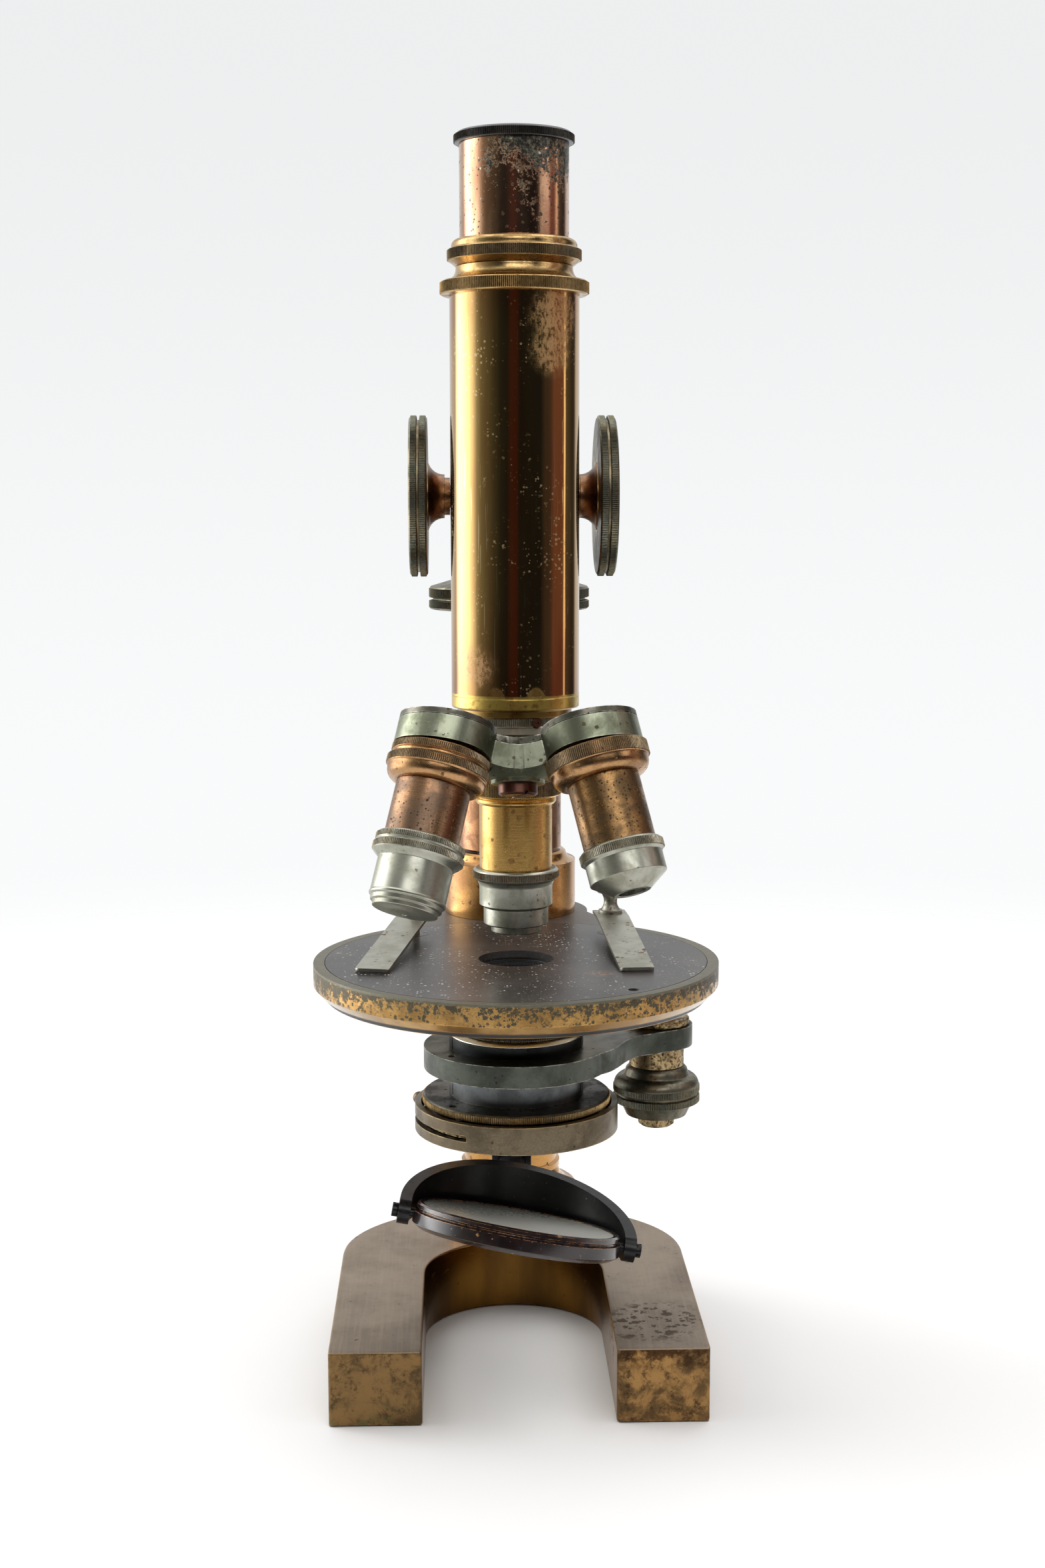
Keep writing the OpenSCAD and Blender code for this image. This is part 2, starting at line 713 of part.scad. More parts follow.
module objective_lenses() {
    // Small plano-convex front lenses behind the tips
    color([0.75, 0.85, 0.88, 0.5]) {
        station(0) rod(2.5, -39.3, -37.5);
        station(1) rod(0.6, -38.5, -36);
        station(2) rod(3.2, -33, -31.5);
    }
}

// ---- rack and pinion ----

module pinion() {
    tooth_half = 0.16 * tooth_pitch;
    tip_half = 0.09 * tooth_pitch;
    root = pitch_r - 1.25 * rack_module;
    tip = pitch_r + rack_module - 0.1;
    color([0.55, 0.50, 0.40]) on_axis() translate([0, pinion_y, pinion_z]) union() {
        cross_rod(shaft_r, -17.5, 17.5);
        cross_rod(root, -gear_half, gear_half);
        rotate([90, 0, 90]) linear_extrude(2 * gear_half, center = true)
            for (i = [0 : pinion_teeth - 1]) rotate(180 + 360 * i / pinion_teeth)
                polygon([[root - 0.3, -0.3 * tooth_pitch], [pitch_r, -tooth_half - 0.1], [tip, -tip_half],
                    [tip, tip_half], [pitch_r, tooth_half + 0.1], [root - 0.3, 0.3 * tooth_pitch]]);
    }
}

// Coarse knob turned about +X, side is 1 or -1
module coarse_knob(side) {
    r = coarse_knob_r;
    inner = 21.4;
    outer = 25.9;
    on_axis() translate([0, pinion_y, pinion_z]) rotate([0, 90 * side, 0]) difference() {
        turned(concat([[0, 15.7], [4.7, 15.7], [4.7, 17.1], [5.6, 17.1]],
            arc(9.6, 17.2, 4.1, 180, 105, 7),
            [[8.5, inner], [r - 0.5, inner], [r, inner + 0.4], [r, inner + 1.8], [r - 0.9, inner + 2.0],
             [r - 0.9, inner + 2.5], [r, inner + 2.7], [r, outer - 0.4], [r - 0.5, outer], [17, outer],
             [16, outer - 0.7], [6, outer - 0.7], [5, outer], [0, outer]]));
        rod(shaft_r, 15.7 - cut, 17.5);
        translate([-3.5, -0.4, outer - 0.8]) cube([7, 0.8, 2]);
    }
}

module coarse_knob_left() color([0.34, 0.34, 0.28]) coarse_knob(-1);

module coarse_knob_right() color([0.34, 0.34, 0.28]) coarse_knob(1);

// ---- draw tube and eyepiece ----

module draw_tube() color([0.62, 0.44, 0.28]) on_axis() difference() {
    rod(draw_r, 236, draw_top);
    rod(draw_r - draw_wall, 236 - cut, draw_top + cut);
}

module eyepiece_cap() {
    z = draw_top;
    color([0.07, 0.07, 0.07]) on_axis() turned([[eye_bore, z - 3], [eyepiece_r, z - 3],
        [eyepiece_r, z], [cap_r - 0.3, z], [cap_r, z + 0.3], [cap_r, z + 1.9],
        [cap_r - 0.6, z + cap_h], [8, z + cap_h], [5, z + 1.4], [4.5, z + 1.2], [6.6, z - 3]]);
}

module eyepiece_barrel() color([0.72, 0.56, 0.28]) on_axis() turned([[eye_bore, 273], [eyepiece_r, 273],
    [eyepiece_r, draw_top - 3], [eye_bore, draw_top - 3], [eye_bore, 291], [6.5, 290.6],
    [6.5, 290], [eye_bore, 289.6]]);

// Lens that fills the eyepiece bore, flat on top, its edge ending at a height and its underside of radius r
module eyepiece_lens(top, edge, r) {
    sphere_z = edge + sqrt(r * r - eye_bore * eye_bore);
    turned(concat([[0, top], [eye_bore, top]], arc(0, sphere_z, r, 270 + asin(eye_bore / r), 270, 5)));
}

module eyepiece_lenses() {
    // Field lens below, eye lens above
    color([0.75, 0.85, 0.88, 0.5]) on_axis() {
        eyepiece_lens(277.5, 276, 28.15);
        eyepiece_lens(draw_top - 3.2, draw_top - 4, 19.85);
    }
}

// ---- stage clips ----

// A blade bent from strip: flat round the post, then sloping down to the plate
module clip_blade() {
    seat = stage_top + 4.6;
    t = 0.8;
    half = 4.2;
    bend = 4.5;
    tip_z = stage_top + 0.12;
    tip_r = 1.5;
    side = [[3.8, seat], [3.8, seat + t], [-bend, seat + t], [-clip_len + 1, tip_z + t],
        [-clip_len, tip_z + t + 0.3], [-clip_len, tip_z + 0.3], [-clip_len + 1, tip_z], [-bend, seat]];
    outline = concat([[-half, 4]], arc(tip_r - half, tip_r - clip_len, tip_r, 180, 270, 4),
        arc(half - tip_r, tip_r - clip_len, tip_r, 270, 360, 4), [[half, 4]]);
    difference() {
        intersection() {
            translate([-half, 0, 0]) rotate([90, 0, 90]) linear_extrude(2 * half) polygon(side);
            translate([0, 0, stage_top]) linear_extrude(8) polygon(outline);
        }
        rod(pin_r, stage_top, stage_top + 9);
    }
}

module clip_post() {
    seat = stage_top + 5.4;
    union() {
        rod(pin_r, stage_bottom + 0.3, seat + 0.5);
        turned(concat([[0, seat], [3.1, seat], [3.1, seat + 0.8]],
            arc(4.9, seat + 3.1, 3.2, 225, 135, 6),
            [[3.4, seat + 5.4], [3.4, seat + 6.1], [2.8, seat + 6.5], [0, seat + 6.5]]));
    }
}

module clip_at(side) translate([side * clip_x, axis_y + clip_y, 0])
    rotate([0, 0, side * (side > 0 ? clip_angle_right : clip_angle_left)]) children();

module clip_blade_left() color([0.56, 0.54, 0.48]) clip_at(-1) clip_blade();

module clip_post_left() color([0.50, 0.46, 0.40]) clip_at(-1) clip_post();

module clip_blade_right() color([0.56, 0.54, 0.48]) clip_at(1) clip_blade();

module clip_post_right() color([0.50, 0.46, 0.40]) clip_at(1) clip_post();

// ---- substage ----

module condenser_carriage() {
    color([0.56, 0.46, 0.30]) on_post() turned([[post_r + run, carriage_low], [carriage_r, carriage_low],
        [carriage_r, arm_z - gap], [carriage_neck, arm_z - gap], [carriage_neck, arm_z + arm_t + gap],
        [8.4, arm_z + arm_t + gap], [8.4, carriage_top - 0.4], [8, carriage_top],
        [post_r + run, carriage_top]]);
}

module lift_knob() {
    z = lift_knob_low;
    r = lift_knob_r;
    color([0.36, 0.35, 0.26]) on_post() turned(concat([[lift_screw_r, z], [7.8, z], [9.3, z + 3.2],
        [r - 0.3, z + 3.4], [r, z + 3.7], [r, z + 5.3], [r - 0.7, z + 5.5], [r - 0.7, z + 6.1], [r, z + 6.3],
        [r, z + 8]], arc(r - 2.6, z + 8, 2.6, 0, 60, 4), [[8.4, z + 10.6], [7.9, z + 12.2], [7.2, z + 13],
        [post_r + 0.3, z + 13], [post_r + 0.3, z + 2.5], [lift_screw_r, z + 2.5]]));
}

module lift_screw() {
    head_low = lift_knob_low - 3;
    color([0.42, 0.38, 0.30]) on_post() difference() {
        union() {
            rod(lift_screw_r, lift_knob_low - eps, 93);
            turned([[0, head_low], [3.9, head_low], [4.65, head_low + 0.6],
                [4.65, lift_knob_low], [0, lift_knob_low]]);
        }
        translate([-5, -0.5, head_low - cut]) cube([10, 1, cut + 1]);
    }
}

// Outline of the arm: ring, boss and a neck whose sides sweep in
module arm_outline() {
    reach = norm([post_x, post_y]);
    boss_r = 9.2;
    wide = 19;
    start = 12;
    stop = 32;
    width = function (s) boss_r + (wide - boss_r) * (1 + cos(180 * (s - start) / (stop - start))) / 2;
    side = [for (i = [0 : 12]) let (s = start + (stop - start) * i / 12) [s, width(s)]];
    rotate(atan2(post_y, post_x)) {
        translate([reach, 0]) circle(r = boss_r);
        polygon(concat(side, [[reach, boss_r], [reach, -boss_r]],
            [for (i = [12 : -1 : 0]) [side[i][0], -side[i][1]]]));
    }
}

module condenser_arm() {
    color([0.22, 0.24, 0.24]) difference() {
        on_axis() union() {
            translate([0, 0, arm_z]) linear_extrude(arm_t) arm_outline();
            rod(arm_r, arm_z, arm_z + arm_t);
        }
        on_axis() rod(sleeve_r, arm_z - cut, arm_z + arm_t + cut);
        on_post() rod(carriage_neck + run, arm_z - cut, arm_z + arm_t + cut);
        on_axis() rotate([0, 0, 217]) translate([20, 0, 0]) rod(0.9, arm_z + 2, arm_z + arm_t + cut);
    }
}

module split_sleeve() {
    color([0.30, 0.32, 0.33]) on_axis() difference() {
        rod(sleeve_r, sleeve_low, sleeve_top);
        rod(sleeve_r - sleeve_wall, sleeve_low - cut, sleeve_top + cut);
        for (a = slit_angles) rotate([0, 0, a]) translate([sleeve_r - 3, -slit_w / 2, sleeve_low + 0.4])
            cube([6, slit_w, 20]);
    }
}

module condenser_mount() {
    r = sleeve_r - sleeve_wall;
    color([0.12, 0.12, 0.12]) on_axis() turned([[10, 80], [r, 80], [r, sleeve_top],
        [sleeve_r - 0.1, sleeve_top], [sleeve_r - 0.1, sleeve_top + 0.4],
        [15.7, sleeve_top + 1.2], [15.2, sleeve_top + 1.3], [15.2, 95.2],
        [14.6, 95.8], [7.5, 95.8], [7.5, 94], [12, 94], [12, 84], [10, 84]]);
}

module condenser_lenses() {
    color([0.75, 0.85, 0.88, 0.5]) on_axis() {
        turned(concat([[0, 84]], [[12, 84], [12, 85]], arc(0, 73, 16.97, 45, 90, 7)));
        turned([[0, 92], [12, 92], [12, 94], [7.5, 94], [7.5, 95.6], [0, 95.6]]);
    }
}

module sleeve_flange() {
    low = drum_z + drum_h;
    color([0.34, 0.34, 0.28]) on_axis() difference() {
        turned([[14, low], [flange_r - 0.3, low], [flange_r, low + 0.3], [flange_r, sleeve_low - 0.4],
            [flange_r - 0.4, sleeve_low], [14, sleeve_low]]);
        rotate([0, 0, 221]) translate([20.8, 0, 0]) rod(1, low + 0.6, sleeve_low + cut);
    }
}

module iris_case() {
    low = drum_z;
    color([0.36, 0.33, 0.24]) on_axis() difference() {
        rod(drum_r, low, low + drum_h);
        rod(drum_r - drum_wall, low + 1.2, low + drum_h + cut);
        rod(13, low - cut, low + drum_h);
        slot_space(low + slot_low, slot_h);
    }
}

// Ring-shaped space of the lever slot between its two ends
module slot_space(low, h) {
    far = 40;
    mid = (slot_from + slot_to) / 2;
    translate([0, 0, low]) linear_extrude(h) difference() {
        polygon([[0, 0], far * [cos(slot_from), sin(slot_from)], 1.4 * far * [cos(mid), sin(mid)],
            far * [cos(slot_to), sin(slot_to)]]);
        circle(r = drum_r - drum_wall - 0.5);
    }
}

module iris_leaves() {
    pitch = 0.28;
    t = 0.2;
    low = drum_z + 4.2;
    color([0.10, 0.10, 0.11]) on_axis() for (k = [0 : leaf_count - 1])
        rotate([0, 0, 360 * k / leaf_count]) translate([0, 0, low + k * pitch]) linear_extrude(t)
            difference() {
                circle(r = 21);
                translate([7.5, 0]) circle(r = 16);
            }
}

module iris_lever() {
    low = drum_z + slot_low + 0.15;
    ball_at = 28.6;
    color([0.45, 0.42, 0.34]) on_axis() {
        difference() {
            rod(drum_r - drum_wall - 0.3, low, low + 1);
            rod(17, low - cut, low + 2);
        }
        rotate([0, 0, lever_angle]) {
            translate([22, -1, low]) cube([5.6, 2, 1]);
            translate([ball_at, 0, low + 0.5]) sphere(r = 1.65);
        }
    }
}

// ---- mirror ----

module fork_frame() on_axis() translate([0, 0, mirror_z]) rotate([0, mirror_roll, 0]) children();

module mirror_fork() {
    outer = fork_inner + fork_wall;
    stem_end = pillar_off - rail_front - gap;
    slope = (bow_half - ear_r) / outer;
    color([0.05, 0.05, 0.05]) fork_frame() difference() {
        union() {
            intersection() {
                rod(outer, -20, 20);
                rotate([90, 0, 90]) linear_extrude(80, center = true)
                    polygon([[0, -ear_r], [0, ear_r], [40, ear_r + 40 * slope], [40, -ear_r - 28 * slope]]);
            }
            for (s = [-1, 1]) translate([s * (fork_inner + fork_wall / 2), 0, 0])
                cross_rod(ear_r, -fork_wall / 2, fork_wall / 2);
            translate([0, stem_end, 0]) rotate([90, 0, 0]) cylinder(r = 4, h = stem_end - outer + 1);
            translate([0, stem_pin_end - 0.5, 0]) rotate([90, 0, 0])
                cylinder(r = stem_pin_r, h = stem_pin_end - 0.5 - stem_end + 1);
        }
        rod(fork_inner, -30, 30);
        cross_rod(pin_r, -40, 40);
    }
}

module fork_screws() {
    outer = fork_inner + fork_wall;
    color([0.08, 0.08, 0.08]) fork_frame() for (s = [0, 180]) rotate([0, 0, s]) difference() {
        union() {
            cross_rod(pin_r, mirror_r - 1.6, outer);
            cross_rod(1.75, outer, outer + 1.5);
        }
        translate([outer + 0.9, -0.25, -3]) cube([2, 0.5, 6]);
    }
}

module mirror_frame() fork_frame() rotate([mirror_tilt, 0, 0]) children();

module mirror_case() {
    r = mirror_r;
    color([0.07, 0.06, 0.06]) mirror_frame() difference() {
        turned([[0, -1.2], [glass_r, -1.2], [glass_r, -3], [r - 1.6, -3.1], [r - 0.1, -2.1], [r, -1.9],
            [r, 0.9], [r - 0.9, 1.1], [r - 1.1, 1.4], [r - 0.5, 1.8], [r - 0.6, 2.7], [r - 1.1, 3.1],
            [glass_r, 2.9], [glass_r, 1.2], [0, 1.2]]);
        cross_rod(pin_r + run, r - 1.7, r + 1);
        cross_rod(pin_r + run, -r - 1, -r + 1.7);
    }
}

module mirror_glasses() {
    // A plane glass above and a concave one below
    sag_r = 280;
    function sag(x) = (pow(glass_r, 2) - pow(x, 2)) / (2 * sag_r);
    color([0.62, 0.64, 0.62]) mirror_frame() {
        rod(glass_r, 1.2, 2.7);
        turned(concat([[0, -1.2], [glass_r, -1.2]],
            [for (i = [0 : 5]) let (x = glass_r * (1 - i / 5)) [x, -2.9 + sag(x) / 2]]));
    }
}

foot();
pillar();
mirror_rail();
pillar_bolt();
stage_body();
stage_plate();
stage_screws();
clip_bushes();
column_socket();
prism_column();
limb_spring();
condenser_post();
limb();
fine_knob();
fine_screw();
body_tube();
slide_bar();
rack();
draw_collar();
collar_ring();
nosepiece_mount();
dust_cover();
turret_screw();
pinion();
coarse_knob_left();
coarse_knob_right();
draw_tube();
eyepiece_cap();
eyepiece_barrel();
eyepiece_lenses();
turret();
medium_mount();
medium_barrel();
medium_nose();
high_mount();
high_barrel();
high_nose();
low_mount();
low_barrel();
low_nose();
objective_lenses();
clip_blade_left();
clip_post_left();
clip_blade_right();
clip_post_right();
condenser_carriage();
lift_knob();
lift_screw();
condenser_arm();
split_sleeve();
condenser_mount();
condenser_lenses();
sleeve_flange();
iris_case();
iris_leaves();
iris_lever();
mirror_fork();
fork_screws();
mirror_case();
mirror_glasses();
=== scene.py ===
"""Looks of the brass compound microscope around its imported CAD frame."""
import json
import math

import bmesh
import bpy
from mathutils import Euler, Matrix, Vector


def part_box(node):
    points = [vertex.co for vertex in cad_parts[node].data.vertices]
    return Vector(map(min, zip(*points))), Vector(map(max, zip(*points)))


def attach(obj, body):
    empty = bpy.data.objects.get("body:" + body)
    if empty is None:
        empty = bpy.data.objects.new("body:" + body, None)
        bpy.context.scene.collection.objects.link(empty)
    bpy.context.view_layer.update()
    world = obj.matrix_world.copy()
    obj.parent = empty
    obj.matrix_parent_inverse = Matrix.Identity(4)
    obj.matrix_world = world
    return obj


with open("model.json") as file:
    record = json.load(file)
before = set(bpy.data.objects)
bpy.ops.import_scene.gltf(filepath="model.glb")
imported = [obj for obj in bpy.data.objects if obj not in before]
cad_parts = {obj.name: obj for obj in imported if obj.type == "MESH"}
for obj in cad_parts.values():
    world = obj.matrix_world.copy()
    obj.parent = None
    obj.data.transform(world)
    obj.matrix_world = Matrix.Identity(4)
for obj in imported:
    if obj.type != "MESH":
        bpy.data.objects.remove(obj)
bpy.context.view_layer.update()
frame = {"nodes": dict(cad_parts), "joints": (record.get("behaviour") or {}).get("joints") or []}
MM = 0.001
NODES = frame["nodes"]

LENS = 48.24  # mm, in front of a sensor 36 mm wide
CAMERA_PLACE = (-13.312, -509.907, 219.702)  # mm from the optical axis at table height
CAMERA_TURN = (7.395, 1.686, -0.118)  # degrees down, to the right and rolled
FLOOR_RADIUS = 6  # m
FLOOR_DROP = 0.05  # mm below the foot, so that the two never share a plane
FLOOR_FADE = (320, 820)  # mm from the middle: solid up to the first, gone at the second
PEAK = 5.0  # radiance of the brightest upright band
OVERHEAD = 1.12  # radiance of the sky above the bands
TURRET_TILT = math.radians(15)
SHOULDER = 79 * MM  # objective shoulder below the point where the objectives' axes meet
TOOTH_PITCH = 0.47  # mm along a milled edge
TOOTH_DEPTH = 0.25  # mm


# ---- places, from the frame ----

def middle(name):
    low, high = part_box(name)
    return (low + high) / 2


AXIS_Y = middle("draw_tube").y
PILLAR = Vector((0, middle("fine_knob").y, 0))
POST = Vector((middle("lift_knob").x, middle("lift_knob").y, 0))
AXIS = Vector((0, AXIS_Y, 0))
PINION = middle("coarse_knob_left")
JOINT = {j["name"]: j for j in frame["joints"]}
HUB = Vector(JOINT["turret_turn"]["pos_m"])
APEX = Vector((0, AXIS_Y, HUB.z + (AXIS_Y - HUB.y) / math.tan(TURRET_TILT)))


def upright(place, z=0.0):
    return Matrix.Translation((place.x, place.y, z))


def station(k):
    """Frame of objective k: its shoulder is at the origin and it hangs towards -Z."""
    lean = Matrix.Rotation(-TURRET_TILT, 4, "X")
    turn = Matrix.Rotation(math.radians(120 * k), 4, "Z")
    back = Matrix.Rotation(TURRET_TILT, 4, "X")
    return Matrix.Translation(APEX) @ lean @ turn @ back @ Matrix.Translation((0, 0, -SHOULDER))


# ---- camera, floor and light ----

def make_camera():
    data = bpy.data.cameras.new("camera")
    data.sensor_width = 36
    data.lens = LENS
    data.clip_start = 0.01
    data.clip_end = 50
    camera = bpy.data.objects.new("camera", data)
    bpy.context.scene.collection.objects.link(camera)
    pitch, yaw, roll = (math.radians(a) for a in CAMERA_TURN)
    level = math.cos(pitch)
    forward = Vector((math.sin(yaw) * level, math.cos(yaw) * level, -math.sin(pitch)))
    camera.location = AXIS + Vector(CAMERA_PLACE) * MM
    turn = forward.to_track_quat("-Z", "Y") @ Euler((0, 0, roll)).to_quaternion()
    camera.rotation_euler = turn.to_euler()
    bpy.context.scene.camera = camera


def make_floor():
    mesh = bpy.data.meshes.new("floor")
    build = bmesh.new()
    bmesh.ops.create_circle(build, cap_ends=True, segments=96, radius=FLOOR_RADIUS)
    build.to_mesh(mesh)
    build.free()
    floor = bpy.data.objects.new("floor", mesh)
    floor.location.z = -FLOOR_DROP * MM
    bpy.context.scene.collection.objects.link(floor)
    t = Tree("floor_white")
    far = t.add("ShaderNodeVectorMath", operation="LENGTH")
    t.put(far.inputs[0], t.place)
    seen = t.step(far.outputs["Value"], *FLOOR_FADE, 1.0, 0.0)
    t.surface(color=(0.86, 0.86, 0.858), rough=0.9, metal=0, alpha=seen)
    mesh.materials.append(t.material)


def area_light(name, azimuth, height, size, radiance, aim_z, away):
    """Soft rectangle light, seen from the optical axis at an azimuth: 0 is the observer's side, 90 the right."""
    data = bpy.data.lights.new(name, "AREA")
    data.shape = "RECTANGLE"
    data.size, data.size_y = size
    data.energy = radiance * math.pi * size[0] * size[1]
    light = bpy.data.objects.new(name, data)
    turn = math.radians(azimuth)
    light.location = AXIS + Vector((away * math.sin(turn), -away * math.cos(turn), height))
    aim = AXIS + Vector((0, 0, aim_z))
    light.rotation_euler = (aim - light.location).to_track_quat("-Z", "Y").to_euler()
    light.visible_camera = False
    bpy.context.scene.collection.objects.link(light)


def make_lights():
    area_light("softbox_top", 170, 1.3, (1.4, 1.0), 1.2, aim_z=0.05, away=0.3)
    area_light("softbox_front", 8, 0.86, (0.9, 0.5), 2.6, aim_z=0.06, away=0.95)
    area_light("softbox_right", 65, 0.94, (0.46, 1.0), 1.25, aim_z=0.94, away=1.2)


# What the part sees all round it: azimuth in degrees (0 towards the observer, 90 to the right) and radiance
STUDIO = [
    # pale backdrop behind, then the large softbox at the left
    (-180, (0.80, 0.81, 0.82)), (-134, (0.80, 0.81, 0.82)), (-128, (2.4, 2.4, 2.4)), (-120, (5.0, 5.0, 5.0)),
    (-106, (5.0, 5.0, 5.0)), (-90, (2.8, 2.8, 2.8)), (-80, (1.5, 1.5, 1.5)), (-73, (0.55, 0.56, 0.54)),
    (-64, (0.26, 0.26, 0.22)), (-52, (0.17, 0.17, 0.15)), (-40, (0.080, 0.080, 0.070)),
    # dark room behind the camera, with a reddish strip in it
    (-27, (0.028, 0.030, 0.032)), (-15, (0.022, 0.022, 0.026)), (-9, (0.060, 0.024, 0.020)),
    (2, (0.060, 0.022, 0.020)), (6, (0.020, 0.020, 0.024)), (45, (0.018, 0.020, 0.026)),
    # warm wall and one bright slit at the right
    (55, (0.07, 0.055, 0.06)), (60, (0.07, 0.055, 0.06)), (66, (0.10, 0.065, 0.07)), (72, (0.22, 0.105, 0.10)),
    (92, (0.22, 0.105, 0.095)), (95.5, (0.3, 0.2, 0.17)), (97, (1.9, 1.6, 1.4)), (99.5, (1.9, 1.6, 1.4)),
    (101, (0.14, 0.12, 0.10)), (122, (0.05, 0.045, 0.045)), (130, (0.08, 0.075, 0.075)),
    (138, (0.80, 0.81, 0.82)), (180, (0.80, 0.81, 0.82)),
]


def make_world():
    """White for the camera; for reflections the studio's lights stand round the part as upright bands."""
    world = bpy.data.worlds.new("studio")
    bpy.context.scene.world = world
    world.use_nodes = True
    tree = world.node_tree
    tree.nodes.clear()
    new, link = tree.nodes.new, tree.links.new

    def sums(operation, a, b):
        made = new("ShaderNodeMath")
        made.operation = operation
        for socket, value in zip(made.inputs, (a, b)):
            if isinstance(value, bpy.types.NodeSocket):
                link(value, socket)
            else:
                socket.default_value = value
        return made.outputs[0]

    def ramp(value, start, end, low, high):
        made = new("ShaderNodeMapRange")
        made.interpolation_type = "SMOOTHSTEP"
        for key, number in (("From Min", start), ("From Max", end), ("To Min", low), ("To Max", high)):
            made.inputs[key].default_value = number
        link(value, made.inputs["Value"])
        return made.outputs["Result"]

    def light(color, strength):
        made = new("ShaderNodeBackground")
        for key, value in (("Color", color), ("Strength", strength)):
            if isinstance(value, bpy.types.NodeSocket):
                link(value, made.inputs[key])
            else:
                made.inputs[key].default_value = value
        return made.outputs[0]

    def choose(mask, a, b):
        made = new("ShaderNodeMixShader")
        for socket, value in zip(made.inputs, (mask, a, b)):
            link(value, socket)
        return made.outputs[0]

    place = new("ShaderNodeTexCoord")
    split = new("ShaderNodeSeparateXYZ")
    link(place.outputs["Generated"], split.inputs[0])
    x, y, z = split.outputs
    turn = sums("ARCTAN2", x, sums("MULTIPLY", y, -1.0))
    bands = new("ShaderNodeValToRGB")
    link(sums("ADD", sums("MULTIPLY", turn, 1 / (2 * math.pi)), 0.5), bands.inputs[0])
    stops = bands.color_ramp.elements
    for i, (angle, color) in enumerate(STUDIO):
        at = (angle + 180) / 360
        if 0 < i < len(STUDIO) - 1:
            stop = stops.new(at)
        else:
            stop = stops[0] if i == 0 else stops[len(stops) - 1]
            stop.position = at
        stop.color = (*(c / PEAK for c in color), 1)
    overhead = ramp(z, 0.55, 0.85, 0.0, 1.0)
    lit = choose(overhead, light(bands.outputs[0], PEAK), light((1, 1, 1, 1), OVERHEAD))
    seen = light((0.985, 0.995, 1.0, 1), ramp(z, -0.15, 0.22, 0.965, 0.865))
    path = new("ShaderNodeLightPath")
    out = new("ShaderNodeOutputWorld")
    link(choose(path.outputs["Is Camera Ray"], lit, seen), out.inputs["Surface"])


# ---- material kit ----

def rgb(r, g, b):
    """A colour given as it looks on a screen, 0 to 255, as linear light."""
    def linear(v):
        v /= 255
        return v / 12.92 if v <= 0.04045 else ((v + 0.055) / 1.055) ** 2.4
    return (linear(r), linear(g), linear(b), 1)


